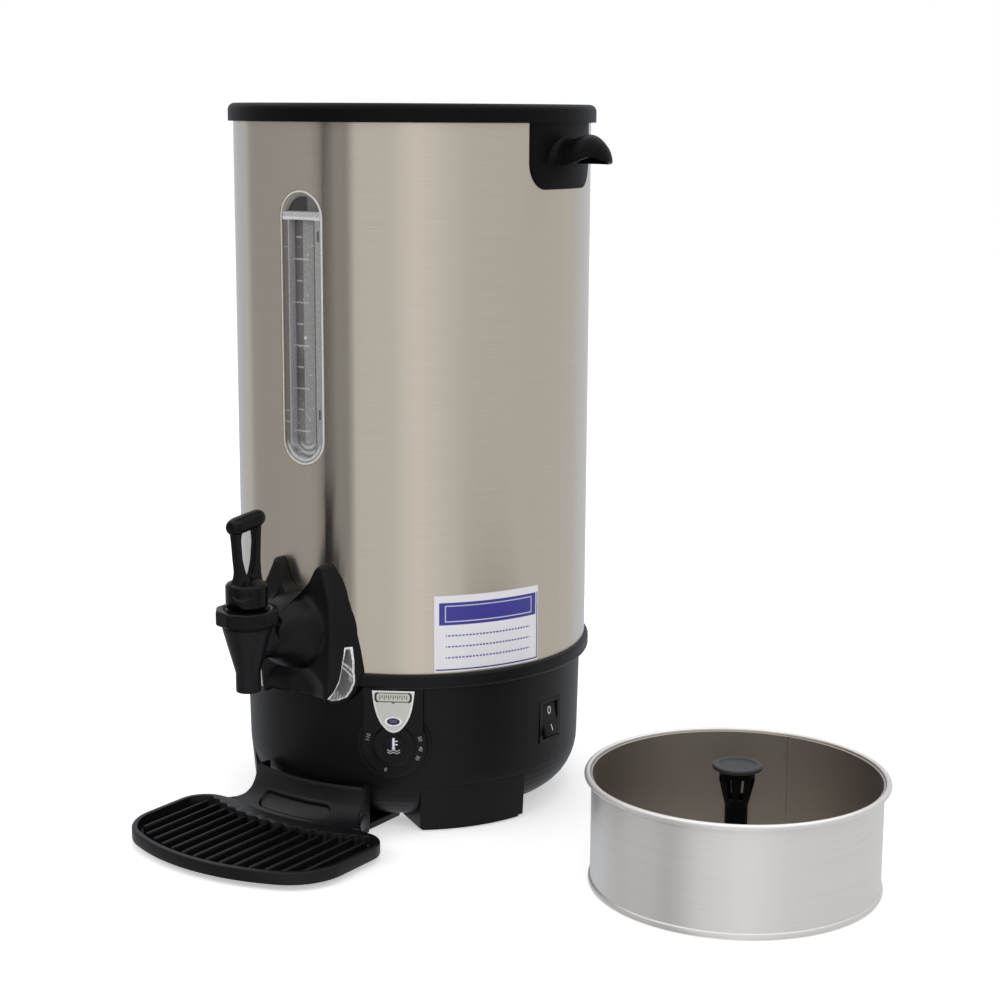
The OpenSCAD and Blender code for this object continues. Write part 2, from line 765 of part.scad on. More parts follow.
module tap_bonnet() {
    color("#2c2c2e") difference() {
        at_spout() {
            translate([0, 0, bonnet_z]) cylinder(r = cone_top_r - 0.8, h = 2.2);
            translate([0, 0, bonnet_z - 5]) cylinder(r = 14, h = 5.1);
            translate([0, 0, bonnet_z]) cylinder(r = nut_lip_r - 0.3, h = lever_rest_z - 0.3 - bonnet_z);
        }
        at_spout() translate([0, 0, bonnet_z - 6]) cylinder(d = stem_d + 0.1, h = 20);
        at_spout() translate([0, 0, bonnet_z - 6]) cylinder(r = 9, h = 4);
    }
}

module tap_ring_nut() {
    color(black) at_spout() difference() {
        translate([0, 0, nut_z]) rotate([0, 0, 4]) cylinder(d = ring_nut_d, h = nut_h, $fn = 10);
        translate([0, 0, nut_z - over]) cylinder(r = cone_top_r - 0.5, h = bonnet_z + 2.3 - nut_z + over);
        translate([0, 0, nut_z - over]) cylinder(r = nut_lip_r, h = nut_h + 2 * over);
    }
}

module valve_stem() {
    color("#cfcdc8") difference() {
        at_spout() translate([0, 0, seat_z + 4]) cylinder(d = stem_d, h = pin_z + 3.6 - seat_z - 4);
        stem_pin_hole(0.05);
    }
}

module stem_pin_hole(clear) {
    at_spout() translate([-20, 0, pin_z]) rotate([0, 90, 0]) cylinder(d = pin_d + 2 * clear, h = 40);
}

module seat_cup() {
    color("#c8c4bc") difference() {
        at_spout() rotate_extrude() polygon([[0, seat_z], [6.6, seat_z], [7, seat_z + 3], [6, seat_z + 8],
            [4.4, seat_z + 9], [0, seat_z + 9]]);
        at_spout() translate([0, 0, seat_z + 4]) cylinder(d = stem_d, h = 20);
    }
}

// coil spring between the cup and the bonnet
spring_r = 4.6;
spring_wire = 0.9;
spring_turns = 6;
spring_low = seat_z + 9 + spring_wire / 2 + 0.05;
spring_high = bonnet_z - 2 - spring_wire / 2 - 0.05;

module valve_spring() {
    sides = 6;
    steps = spring_turns * 14;
    points = [for (i = [0:steps]) let (a = 360 * spring_turns * i / steps,
            z = spring_low + (spring_high - spring_low) * i / steps)
        for (k = [0:sides - 1]) let (r = spring_r + spring_wire / 2 * cos(360 * k / sides))
            [r * cos(a), r * sin(a), z + spring_wire / 2 * sin(360 * k / sides)]];
    walls = [for (i = [0:steps - 1], k = [0:sides - 1]) let (m = (k + 1) % sides)
        [i * sides + k, i * sides + m, (i + 1) * sides + m, (i + 1) * sides + k]];
    ends = [[for (k = [sides - 1:-1:0]) k], [for (k = [0:sides - 1]) steps * sides + k]];
    color("#b8b8b4") at_spout() polyhedron(points, concat(walls, ends));
}

lever_pin_l = lever_foot_d - 1.6;

module lever_pin() {
    color("#cfcdc8") at_spout() translate([-lever_pin_l / 2, 0, pin_z])
        rotate([0, 90, 0]) cylinder(d = pin_d, h = lever_pin_l);
}

bar_axis = lever_h - lever_bar_d / 2;
bar_forward = 1.5;
leg_t = 5.4;

// side view of the lever's foot, flat in the middle and rounded where it rocks
module lever_side_view() {
    half = lever_foot_d / 2;
    polygon(concat(
        arc(7.2, -2, half - 7.2, 6.5, -90, 0, 6),
        [[half, 8.2], [-half, 8.2]], arc(-7.2, -2, half - 7.2, 6.5, 180, 270, 6)));
}

// one leg: broad where it grows out of the foot, slim under the bar
module lever_leg(outer, inner, middle, slim) {
    polygon([[outer, 8], [inner, 8], [middle + slim / 2, 18], [middle + slim / 2, bar_axis],
        [middle - slim / 2, bar_axis], [middle - slim / 2, 18]]);
}

module tap_lever() {
    color(black) difference() {
        at_spout() translate([0, 0, pin_z]) union() {
            // foot: round in plan, with a bottom that rocks
            intersection() {
                translate([0, 0, -9]) cylinder(d = lever_foot_d, h = 20);
                rotate([90, 0, 90]) translate([0, 0, -20]) linear_extrude(40) lever_side_view();
            }
            rotate([90, 0, 90]) translate([0, 0, -leg_t / 2]) linear_extrude(leg_t) {
                lever_leg(-lever_foot_d / 2 + 0.6, -4.5, -10.6, 5.2);
                lever_leg(4.5, lever_foot_d / 2 - 0.6, 10.6, 5.2);
            }
            translate([0, -bar_forward, bar_axis]) rotate([90, 0, 0]) {
                translate([0, 0, -(lever_bar_l - lever_bar_d) / 2])
                    cylinder(d = lever_bar_d, h = lever_bar_l - lever_bar_d);
                for (s = [-1, 1]) translate([0, 0, s * (lever_bar_l - lever_bar_d) / 2]) sphere(d = lever_bar_d);
            }
        }
        // slot for the stem, opened towards the front where the stem leans as the lever tips
        at_spout() translate([0, 0, pin_z]) rotate([90, 0, 90]) translate([0, 0, -(stem_d + 0.6) / 2])
            linear_extrude(stem_d + 0.6) polygon([
                [-3.2, 4.6], [-3.2, 0], [-9.2, -10], [3.2, -10], [5.6, 4.6]]);
        stem_pin_hole(0.03);
    }
}

// ---- controls ----

module plate_outline(inset) {
    half = plate_w / 2 - inset;
    polygon([for (i = [-12:12]) let (u = i / 12)
        [half * u, plate_tip_z + inset + (plate_h - 2 * inset) * (0.62 * pow(u, 2) + 0.38 * pow(u, 10))]]);
}

module control_plate() {
    color("#d9dad7") facing(dial_angle) outwards(brow_front, brow_front + 0.8) plate_outline(0);
}

shaft_r = 3;

module dial_knob() {
    color(black) facing(dial_angle) difference() {
        union() {
            stud(dial_skirt_r, skirt_back, skirt_front, dial_z);
            stud(dial_r, skirt_back, brow_front - 0.4, dial_z);
            stud(6, dial_floor + 0.4, skirt_back + 0.1, dial_z);
        }
        stud(shaft_r + 0.05, dial_floor - over, skirt_front - 0.6, dial_z);
    }
}

// brass shaft that carries the knob and turns in the thermostat's bush
module dial_shaft() {
    color("#c9a45a") facing(dial_angle) stud(shaft_r, thermostat_plane - 8, skirt_front - 0.8, dial_z);
}

thermostat_size = [34, 22, 30];

// capillary thermostat behind the dial
module thermostat() {
    back = thermostat_plane - thermostat_size.y;
    color("#b9b9b4") facing(dial_angle) difference() {
        union() {
            outwards(back, thermostat_plane)
                translate([0, dial_z]) square([thermostat_size.x, thermostat_size.z], center = true);
            stud(shaft_r + 0.9, thermostat_plane - 0.1, dial_floor + 0.2, dial_z);
            for (s = [-1, 1]) stud(1.5, thermostat_plane - 0.1, dial_floor - 0.6, dial_z, s * 14);
        }
        stud(shaft_r + 0.05, thermostat_plane - 8.1, dial_floor + over, dial_z);
    }
}

// copper capillary from the thermostat up to the bulb, which lies against the tank floor
module thermostat_bulb() {
    reach = thermostat_plane - thermostat_size.y / 2;
    top = tank_z - tank_t - bulb_r - 0.1;
    low = dial_z + thermostat_size.z / 2;
    color("#b06a3a") facing(dial_angle) translate([0, -reach, 0]) {
        translate([0, 0, low]) cylinder(r = 1, h = top - low);
        translate([-20, 0, top]) rotate([0, 90, 0]) cylinder(r = bulb_r, h = 40);
    }
}

bulb_r = 3;
bezel = [26.4, 32.4];
rocker_axis = recess_plane - 1.2;
rocker_r = 13;
rocker_w = 18.6;
bezel_front = recess_plane + 2.6;

module switch_housing() {
    color("#202022") facing(switch_angle) difference() {
        union() {
            outwards(recess_plane, bezel_front) translate([0, switch_z]) soft_rect(bezel.x, bezel.y, 1);
            outwards(recess_plane - 24, recess_plane + 0.1)
                translate([0, switch_z]) square(switch_cut, center = true);
        }
        translate([-(rocker_w / 2 + 0.4), -rocker_axis, switch_z]) rotate([0, 90, 0])
            cylinder(r = rocker_r + 0.4, h = rocker_w + 0.8);
        outwards(rocker_axis, bezel_front + over)
            translate([0, switch_z]) square([rocker_w + 0.8, 2 * rocker_r + 0.8], center = true);
        translate([-rocker_w / 2 - 1.4, -rocker_axis, switch_z])
            rotate([0, 90, 0]) cylinder(r = 1.25, h = rocker_w + 2.8);
    }
    color("#c9a45a") facing(switch_angle) for (s = [-1, 1], t = [-1, 0, 1])
        outwards(recess_plane - 33, recess_plane - 24)
            translate([s * 6, switch_z + t * 8]) square([0.8, 6], center = true);
}

// the rocker rests with its upper end pressed in
module switch_rocker() {
    lean = rocker_tilt / 2;
    color("#262628") facing(switch_angle) translate([0, -rocker_axis, switch_z]) {
        rotate([-lean, 0, 0]) intersection() {
            rotate([0, 90, 0]) translate([0, 0, -rocker_w / 2]) cylinder(r = rocker_r, h = rocker_w);
            rotate([90, 0, 90]) translate([0, 0, -rocker_w / 2 - over]) linear_extrude(rocker_w + 2 * over)
                polygon([[5, -14], [-5.4, -12.6], [-3.2, 0], [-5.4, 12.6], [5, 14]]);
        }
        rotate([0, 90, 0]) translate([0, 0, -rocker_w / 2 - 1.2]) cylinder(r = 1.2, h = rocker_w + 2.4);
    }
}

// ---- inside the base ----

heater_plate_r = thermostat_plane - thermostat_size.y / 2 - 14;
heater_plate_t = 3;
heater_tube_r = 4;
element_r = heater_plate_r - 17;
element_end = 15;
element_drop = 24;
plate_z = tank_z - tank_t;

// ring of tubular heater under its spreader plate, with the two ends turned down
module heating_element() {
    color("#a9a9a6") union() {
        translate([0, 0, plate_z - heater_plate_t]) cylinder(r = heater_plate_r, h = heater_plate_t);
        translate([0, 0, plate_z - heater_plate_t - heater_tube_r + 0.6]) rotate([0, 0, element_end - 90])
            rotate_extrude(angle = 360 - 2 * element_end) translate([element_r, 0])
                circle(r = heater_tube_r, $fn = 24);
        for (s = [-1, 1]) facing(s * element_end) translate([0, -element_r, plate_z - element_drop])
            cylinder(r = heater_tube_r, h = element_drop - heater_plate_t - 3);
    }
}

module thermal_cutout() {
    color("#1f1f21") translate([0, 0, plate_z - heater_plate_t]) mirror([0, 0, 1]) union() {
        cylinder(r = 12, h = 6);
        cylinder(r = 9, h = 10);
        for (s = [-1, 1]) translate([s * 5 - 0.4, -3, 9]) cube([0.8, 6, 8]);
    }
}

module terminal_block() {
    color("#d6d2c4") translate([0, 60, under_z]) difference() {
        translate([-24, -9, 0]) cube([48, 18, 14]);
        for (x = [-16:8:16]) translate([x, 0, 6]) cylinder(r = 2.2, h = 10);
        for (x = [-16:8:16]) translate([x, -10, 4.2]) rotate([-90, 0, 0]) cylinder(r = 1.6, h = 20);
    }
}

gland_thread_r = 8;
gland_bore_r = 4.2;

// gland with a collar outside the wall and a locking ring inside it
module cord_gland() {
    color("#1f1f21") facing(gland_angle) difference() {
        union() {
            stud(gland_thread_r, base_low_r - 16, base_low_r + 8, gland_z);
            stud(12, base_low_r + 0.6, base_low_r + 5, gland_z);
            translate([0, -(base_low_r - base_wall - 5.2), gland_z])
                rotate([90, 0, 0]) cylinder(r = 12, h = 4.4, $fn = 6);
            stud(7, base_low_r + 7, base_low_r + 18, gland_z);
        }
        stud(gland_bore_r, base_low_r - 17, base_low_r + 20, gland_z);
    }
}

loom_r = 1.6;
lead_r = 1.3;
loom_ring = thermostat_plane - thermostat_size.y + 4;
loom_z = dial_z - thermostat_size.z / 2 - loom_r;
loom_from = -element_end - 2;

// leads bundled round the inside, between the terminal block, the switch, the thermostat and the heater
module wiring_loom() {
    color("#3c3c40") union() {
        translate([0, 0, loom_z]) rotate([0, 0, loom_from - 90])
            rotate_extrude(angle = 182 - loom_from) translate([loom_ring, 0]) circle(r = loom_r, $fn = 24);
        facing(180) {
            stud(lead_r, 60, loom_ring, loom_z);
            translate([0, -60, under_z + 14]) cylinder(r = lead_r, h = loom_z - under_z - 14);
            translate([0, -60, loom_z]) sphere(r = lead_r, $fn = 24);
        }
        facing(switch_angle) translate([0, -loom_ring, loom_z])
            cylinder(r = lead_r, h = switch_z - switch_cut.y / 2 - loom_z);
        for (s = [-1, 1]) facing(s * element_end) {
            stud(lead_r, element_r, loom_ring, loom_z);
            translate([0, -element_r, loom_z]) cylinder(r = lead_r, h = plate_z - element_drop - loom_z);
            translate([0, -element_r, loom_z]) sphere(r = lead_r, $fn = 24);
        }
    }
}

label_w = 86;
label_h = 56;
label_angle = 61;

// write-on sticker
module care_label() {
    color("#e9ebf2") facing(label_angle) intersection() {
        tube(jacket_r + 0.1, jacket_r + 0.35, seam_z, label_h + 1.4);
        outwards(0, collar_r) translate([0, seam_z + 1.2 + label_h / 2]) soft_rect(label_w - 1.5, label_h, 0.8);
    }
}

pump_top_z = lid_floor_z - 24;
pump_stop_z = pump_top_z - 72;
pump_tube_r = 5.6;
pump_t = 0.8;
pump_foot_r = 32;
pump_neck_r = 14;
pump_foot_h = 16;
pump_stop_r = 10;

// steel riser on a bell foot; the basket hangs on its stop ring
module pump_tube() {
    color("#c4c2bb") translate([0, 0, tank_z]) difference() {
        union() {
            cylinder(r1 = pump_foot_r, r2 = pump_neck_r, h = pump_foot_h);
            cylinder(r = pump_tube_r, h = pump_top_z - tank_z);
            translate([0, 0, pump_stop_z - tank_z]) cylinder(r = pump_stop_r, h = 2);
        }
        translate([0, 0, -over]) cylinder(r = pump_tube_r - pump_t, h = urn_h);
        translate([0, 0, -0.01])
            cylinder(r1 = pump_foot_r - 1.5 * pump_t, r2 = pump_neck_r - 1.7 * pump_t, h = pump_foot_h - 1);
        for (a = [0:60:300]) rotate([0, 0, a]) translate([pump_foot_r - 8, 0, 3]) rotate([0, 90, 0])
            cylinder(r = 2, h = 12);
    }
}

// ---- drip tray ----

tray_low_z = 4;
tray_wall = 2.2;
rim_w = 4;
rib_t = 2.6;
front_y = jacket_r + tray_front;
front_arc_r = 160;
corner_r = 42.5;
shoulder_r = 21;
shoulder_y = jacket_r + 37;
waist_w = 128;
neck_t = 2.4;
neck_r = jacket_r + 6.5;
sweep = neck_top_z - tray_rim_z + 0.5;
pocket_r = jacket_r + 38;
sill_end = base_low_r - 8;
tongue_end = jacket_r - 54;
tongue_w = neck_w - 6;
tongue_low = 0.4;
tongue_top = under_z - cover_t - 0.4;

// plan outline of the tray: a bow in front, round corners, and shoulders at the back
module tray_outline(inset) {
    corner_x = tray_half_w - corner_r;
    turn = asin(corner_x / (front_arc_r - corner_r));
    arc_y = front_arc_r - front_y;
    corner_y = arc_y - sqrt(pow(front_arc_r - corner_r, 2) - pow(corner_x, 2));
    for (s = [0, 1]) mirror([s, 0]) polygon(concat(
        [[-0.01, inset - front_y]],
        arc(0, arc_y, front_arc_r - inset, front_arc_r - inset, -87, -90 + turn, 5),
        arc(corner_x, corner_y, corner_r - inset, corner_r - inset, -88 + turn, 0, 8),
        arc(tray_half_w - shoulder_r, -shoulder_y, shoulder_r - inset, shoulder_r - inset, 0, 90, 6),
        [[waist_w / 2 - inset, -shoulder_y + shoulder_r - inset], [-0.01, -shoulder_y + shoulder_r - inset]]));
}

// half section of the neck: a hollow sweep from upright down to the tray, thin or filled behind
module neck_section(back) {
    polygon(concat(
        arc(neck_r + sweep, neck_top_z, sweep, sweep, 180, 270, 8),
        back ? [[neck_r + sweep, tongue_low], [base_low_r - 6, tongue_low], [base_low_r - 6, neck_top_z]]
            : arc(neck_r + sweep, neck_top_z, sweep + neck_t, sweep + neck_t, 270, 180, 8)));
}

module neck_plan() {
    for (s = [0, 1]) mirror([s, 0]) polygon(concat(
        [[-0.01, -tongue_end], [neck_w / 2, -tongue_end]],
        arc(neck_w / 2 + 14, -jacket_r, 14, 14, 180, 250, 5),
        [[waist_w / 2 + 2, -shoulder_y + 19], [waist_w / 2 - 6, -pocket_r + 2], [-0.01, -pocket_r + 2]]));
}

module drip_tray() {
    color(black) union() {
        difference() {
            translate([0, 0, tray_low_z]) linear_extrude(tray_rim_z - tray_low_z) tray_outline(0);
            translate([0, 0, tray_low_z + tray_wall]) linear_extrude(40) difference() {
                tray_outline(rim_w);
                circle(r = pocket_r);
            }
        }
        // ribs that the cup stands on, ending in a row behind the rim
        translate([0, 0, tray_low_z + 1]) linear_extrude(tray_rim_z - tray_low_z - 2.8) intersection() {
            tray_outline(rim_w + 4.5);
            difference() {
                for (i = [0:rib_count - 1]) translate([(i - (rib_count - 1) / 2) * rib_pitch - rib_t / 2, -front_y])
                    square([rib_t, tray_front]);
                circle(r = pocket_r - over);
            }
        }
        difference() {
            union() {
                intersection() {
                    rotate_extrude($fn = fine) neck_section(false);
                    linear_extrude(60) neck_plan();
                }
                for (s = [-1, 1]) intersection() {
                    rotate_extrude($fn = fine) neck_section(true);
                    translate([s * (neck_w - neck_t) / 2 - neck_t / 2, -pocket_r, 0])
                        cube([neck_t, pocket_r - base_low_r + 20, 60]);
                }
            }
            body_space(gap);
        }
        // sill under the neck, and the tongue that slides in under the urn, between its front feet
        translate([-neck_w / 2, 10 - shoulder_y, tongue_low])
            cube([neck_w, shoulder_y - 10 - sill_end, tongue_top - tongue_low]);
        translate([-tongue_w / 2, 10 - shoulder_y, tongue_low])
            cube([tongue_w, shoulder_y - 10 - tongue_end, tongue_top - tongue_low]);
    }
}

// ---- filter basket ----

basket_t = 0.8;
bead_r = 2.2;
basket_floor_z = 2 * bead_r + 0.05;
column_top = basket_h + 3;
cap_t = 2.6;
neck_top_d = 24;

module at_basket() { translate([basket_x, -basket_front, 0]) children(); }

module basket_shell() {
    color("#c4c2bb") at_basket() rotate_extrude() union() {
        polygon([[basket_r - basket_t, bead_r], [basket_r, bead_r], [basket_r, basket_h - 3], [basket_rim_r - bead_r, basket_h - bead_r],
            [basket_rim_r - bead_r, basket_h - bead_r + basket_t], [basket_r - basket_t, basket_h - 3 + basket_t]]);
        translate([basket_rim_r - bead_r, basket_h - bead_r]) circle(r = bead_r, $fn = 24);
        translate([basket_r - 1.6, bead_r]) circle(r = bead_r, $fn = 24);
    }
}

// perforated floor, raised a little off the table, with a hole for the column
module basket_floor() {
    color("#b9b7b0") at_basket() difference() {
        translate([0, 0, basket_floor_z]) cylinder(r = basket_r - basket_t - 0.4, h = basket_t);
        cylinder(d = column_d - 1.2, h = 10);
        for (k = [0:3], i = [0:11 + 6 * k]) rotate([0, 0, 360 * i / (12 + 6 * k)])
            translate([30 + 16 * k, 0, 0]) cylinder(r = 1.25, h = 10, $fn = 16);
    }
}

// riser column: a plain shaft that flares into a slotted neck
module basket_column() {
    low = basket_floor_z + basket_t;
    color(black) at_basket() difference() {
        union() {
            translate([0, 0, low]) cylinder(d = column_d, h = column_top - low);
            translate([0, 0, low]) cylinder(d = column_d + 6, h = 2);
            translate([0, 0, column_top - 26]) cylinder(d1 = column_d, d2 = neck_top_d, h = 18);
            translate([0, 0, column_top - 8.01]) cylinder(d = neck_top_d, h = 8.01);
        }
        translate([0, 0, -1]) cylinder(d = column_d - 3, h = column_top + over - 4);
        translate([0, 0, column_top - 24]) cylinder(d1 = column_d - 3, d2 = neck_top_d - 4, h = 16);
        translate([0, 0, column_top - 8.02]) cylinder(d = neck_top_d - 4, h = 10);
        for (a = [0:45:315]) rotate([0, 0, a])
            translate([neck_top_d / 2 - 6, -1.6, column_top - 20]) cube([12, 3.2, 15]);
    }
}

module column_cap() {
    color(black) at_basket() translate([0, 0, column_top]) union() {
        rotate_extrude() polygon(concat(
            [[0, 0]], arc(cap_d / 2 - 1.3, 1.3, 1.3, 1.3, -90, 90, 6), [[0, cap_t + 0.6]]));
        translate([0, 0, -3]) cylinder(d = neck_top_d - 4.2, h = 3.1);
    }
}

base_housing();
base_cover();
base_screws();
anti_slip_pads();
outer_jacket();
top_collar();
inner_tank();
handle_right();
handle_left();
handle_screws();
lid();
lid_knob();
lid_knob_screw();
gauge_window();
gauge_gasket();
gauge_nuts();
tap_shroud();
indicator_lens_right();
indicator_lens_left();
indicator_lamps();
tap_body();
shank_spacer();
shank_washer();
shank_nut();
tap_bonnet();
tap_ring_nut();
valve_stem();
seat_cup();
valve_spring();
lever_pin();
tap_lever();
control_plate();
dial_knob();
dial_shaft();
thermostat();
thermostat_bulb();
switch_housing();
switch_rocker();
heating_element();
thermal_cutout();
terminal_block();
cord_gland();
wiring_loom();
care_label();
pump_tube();
drip_tray();
basket_shell();
basket_floor();
basket_column();
column_cap();
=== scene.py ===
import bmesh
import bpy
import numpy as np
from mathutils import Matrix, Vector


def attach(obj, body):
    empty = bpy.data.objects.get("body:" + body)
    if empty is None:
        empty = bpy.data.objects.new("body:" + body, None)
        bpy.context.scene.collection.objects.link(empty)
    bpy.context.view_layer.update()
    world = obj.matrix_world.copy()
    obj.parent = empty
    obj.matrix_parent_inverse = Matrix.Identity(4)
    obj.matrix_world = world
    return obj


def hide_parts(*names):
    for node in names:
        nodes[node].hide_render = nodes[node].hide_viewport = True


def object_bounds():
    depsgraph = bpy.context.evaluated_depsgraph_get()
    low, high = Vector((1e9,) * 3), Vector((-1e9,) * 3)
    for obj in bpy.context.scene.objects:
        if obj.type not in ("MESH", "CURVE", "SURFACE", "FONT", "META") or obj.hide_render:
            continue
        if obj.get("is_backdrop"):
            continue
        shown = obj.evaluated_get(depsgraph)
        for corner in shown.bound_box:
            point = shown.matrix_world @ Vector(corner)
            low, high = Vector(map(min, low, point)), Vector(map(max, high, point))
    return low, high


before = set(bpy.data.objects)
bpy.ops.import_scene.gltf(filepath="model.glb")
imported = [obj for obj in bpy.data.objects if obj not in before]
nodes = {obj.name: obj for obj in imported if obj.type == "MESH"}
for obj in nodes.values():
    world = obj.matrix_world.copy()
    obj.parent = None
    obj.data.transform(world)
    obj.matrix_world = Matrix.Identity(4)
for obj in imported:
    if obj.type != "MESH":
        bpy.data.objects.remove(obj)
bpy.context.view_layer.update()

# ---- camera ----
# A long lens 1.4 m from the tap, level with the collar and looking down past the tap's right side. The turn
# about the line of sight is a third of a degree.
camera_place, lens, film_width = (0.8934, -1.2076, 0.5147), 71.696, 36
aim, dip, tilt = np.radians(33.97), np.radians(11.02), 0.0059


def on_set(name, data):
    """A new object in the scene, at the origin."""
    thing = bpy.data.objects.new(name, data)
    bpy.context.scene.collection.objects.link(thing)
    return thing


side = Vector((np.cos(aim), np.sin(aim), 0))
ahead = Vector((-np.sin(aim) * np.cos(dip), np.cos(aim) * np.cos(dip), -np.sin(dip)))
above = side.cross(ahead)
turned_side = side * np.cos(tilt) + above * np.sin(tilt)
turned_above = above * np.cos(tilt) - side * np.sin(tilt)
camera = on_set("camera", bpy.data.cameras.new("camera"))
camera.data.lens, camera.data.sensor_width, camera.data.clip_end = lens, film_width, 50
camera.matrix_world = (Matrix.Translation(camera_place)
                       @ Matrix((turned_side, turned_above, -ahead)).transposed().to_4x4())
bpy.context.scene.camera = camera
bpy.context.scene.view_settings.view_transform = "Standard"

# ---- studio ----
# White paper on the floor, a white room and three soft lamps. A grey sleeve round the set shows only in
# reflections, so that the bright steel mirrors it as upright bands. The room is brighter in them too.


def feed(taker, sockets):
    """Fills a shader node's inputs: another node's output is linked in, and a number or a colour is kept
    there."""
    for socket, value in dict(sockets).items():
        if isinstance(value, bpy.types.NodeSocket):
            taker.id_data.links.new(value, taker.inputs[socket])
        else:
            taker.inputs[socket].default_value = value
    return taker


def added(tree, kind, sockets=(), **settings):
    """A new shader node, with its settings made first and its inputs filled next. Gives its outputs."""
    made = tree.nodes.new("ShaderNode" + kind)
    for setting, value in settings.items():
        setattr(made, setting, value)
    return feed(made, sockets).outputs


def worked(tree, operation, *values):
    """Result of a Math node on up to three values."""
    return added(tree, "Math", enumerate(values), operation=operation)[0]


def new_finish(name, sockets):
    """A new material with inputs of its Principled shader filled. Gives the material, its tree and its
    shader."""
    material = bpy.data.materials.new(name)
    material.use_nodes = True
    return material, material.node_tree, feed(material.node_tree.nodes["Principled BSDF"], sockets)


def quads_of(grid, start=0):
    """Faces of a grid of points, each between four neighbours, counted from start."""
    index = start + np.arange(grid.shape[0] * grid.shape[1]).reshape(grid.shape[:2])
    return np.stack([index[:-1, :-1], index[1:, :-1], index[1:, 1:], index[:-1, 1:]], -1).reshape(-1, 4)


def shade_points(mesh, shades):
    """Keeps a colour for each point of a mesh, in its attribute "tone"."""
    tone = mesh.attributes.new("tone", "FLOAT_COLOR", "POINT")
    tone.data.foreach_set("color", np.concatenate([shades, np.ones((len(shades), 1))], 1).ravel())


world = bpy.data.worlds.new("studio")
bpy.context.scene.world = world
world.use_nodes = True
tree = world.node_tree
tree.nodes.clear()
rays = added(tree, "LightPath")
seen = worked(tree, "MAXIMUM", rays["Is Camera Ray"], rays["Is Transmission Ray"])
white = worked(tree, "MULTIPLY_ADD", seen, 0.28, 0.72)
ceiling = worked(tree, "MULTIPLY_ADD", rays["Is Glossy Ray"], 0.7, white)
room = added(tree, "Background", {"Color": (1, 1, 1, 1), "Strength": ceiling})
added(tree, "OutputWorld", {"Surface": room[0]})

floor_half = 6
floor_mesh = bpy.data.meshes.new("floor")
floor_mesh.from_pydata([(x * floor_half, y * floor_half, 0) for x, y in ((-1, -1), (1, -1), (1, 1), (-1, 1))],
                       [], [(0, 1, 2, 3)])
floor = on_set("floor", floor_mesh)
floor_paper, tree, skin = new_finish("floor_paper", {"Base Color": (0.93, 0.93, 0.93, 1), "Roughness": 0.9,
                                                     "Specular IOR Level": 0.0,
                                                     "Emission Color": (1, 1, 1, 1)})
feed(skin, {"Emission Strength": worked(tree, "MULTIPLY", added(tree, "LightPath")["Is Camera Ray"], 0.42)})
floor_mesh.materials.append(floor_paper)
floor.visible_glossy = False
floor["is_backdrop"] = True

lamp_target, lamp_size = Vector((0.08, -0.05, 0.25)), 1.4
for name, place, power in (("lamp_left", (-1.5, -1.9, 1.7), 15), ("lamp_right", (2.4, -0.6, 1.5), 9),
                           ("lamp_top", (0.1, 0.2, 2.6), 9)):
    light = bpy.data.lights.new(name, "AREA")
    light.shape = "RECTANGLE"
    light.size = light.size_y = lamp_size
    light.energy = power
    lamp = on_set(name, light)
    lamp.matrix_world = (Matrix.Translation(place)
                         @ (lamp_target - Vector(place)).to_track_quat("-Z", "Y").to_matrix().to_4x4())
    lamp.visible_glossy = False

# Turn from the camera's side, positive towards the left, and shade of each card in the sleeve: a pale one
# faces the set, and dark ones with a slit between them hang at its left. The back of the sleeve is a little
# cooler.
sleeve_cards = ((-180, 0.60), (-139, 0.69), (-129, 0.64), (-85, 0.62), (-39, 0.64), (-25, 0.71), (-6, 0.84),
                (2, 0.80), (12, 0.69), (33.5, 0.69), (39, 0.31), (47, 0.34), (53, 0.11), (59, 0.35),
                (66, 0.42), (121, 0.40), (129, 0.60), (180, 0.56))
sleeve_r, sleeve_rows = 3, np.array([-12, -0.3, 0.8, 2.4])[:, None]
turn = np.linspace(-180, 180, 721)
shade = np.interp(turn, *np.array(sleeve_cards).T)[:, None]
way = np.radians(turn) + np.pi / 2 - aim
ring = np.stack([sleeve_r * np.cos(-way) + 0 * sleeve_rows, sleeve_r * np.sin(-way) + 0 * sleeve_rows,
                 sleeve_rows + 0 * way], -1)
cool = np.clip((np.abs(turn) - 118) / 22, 0, 1)[:, None] * (-0.05, 0.0, 0.08) + 1
sleeve_mesh = bpy.data.meshes.new("sleeve")
sleeve_mesh.from_pydata(ring.reshape(-1, 3).tolist(), [], quads_of(ring).tolist())
shade_points(sleeve_mesh, np.tile(shade * cool, (len(sleeve_rows), 1)))
sleeve = on_set("sleeve", sleeve_mesh)
sleeve_cloth, tree, skin = new_finish("sleeve_cloth", {"Base Color": (0, 0, 0, 1), "Specular IOR Level": 0,
                                                       "Emission Strength": 1.0})
feed(skin, {"Emission Color": added(tree, "Attribute", attribute_name="tone")["Color"]})
sleeve_mesh.materials.append(sleeve_cloth)
for rays in ("camera", "diffuse", "shadow", "transmission"):
    setattr(sleeve, "visible_" + rays, False)
sleeve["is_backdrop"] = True

# ---- jacket ----
# Stainless sheet rolled into a tube with its brush lines running round it, cut out for the sight window and
# the tap, and held between the base's ledge and the collar.


def mask_group(name, inputs, outputs):
    """A new node group with number inputs at given values and number outputs. Gives the group, its inputs as
    they are read inside it, and the node that takes its results."""
    group = bpy.data.node_groups.new(name, "ShaderNodeTree")
    for title, value in inputs.items():
        group.interface.new_socket(title, in_out="INPUT", socket_type="NodeSocketFloat").default_value = value
    for title in outputs:
        group.interface.new_socket(title, in_out="OUTPUT", socket_type="NodeSocketFloat")
    return group, group.nodes.new("NodeGroupInput").outputs, group.nodes.new("NodeGroupOutput")


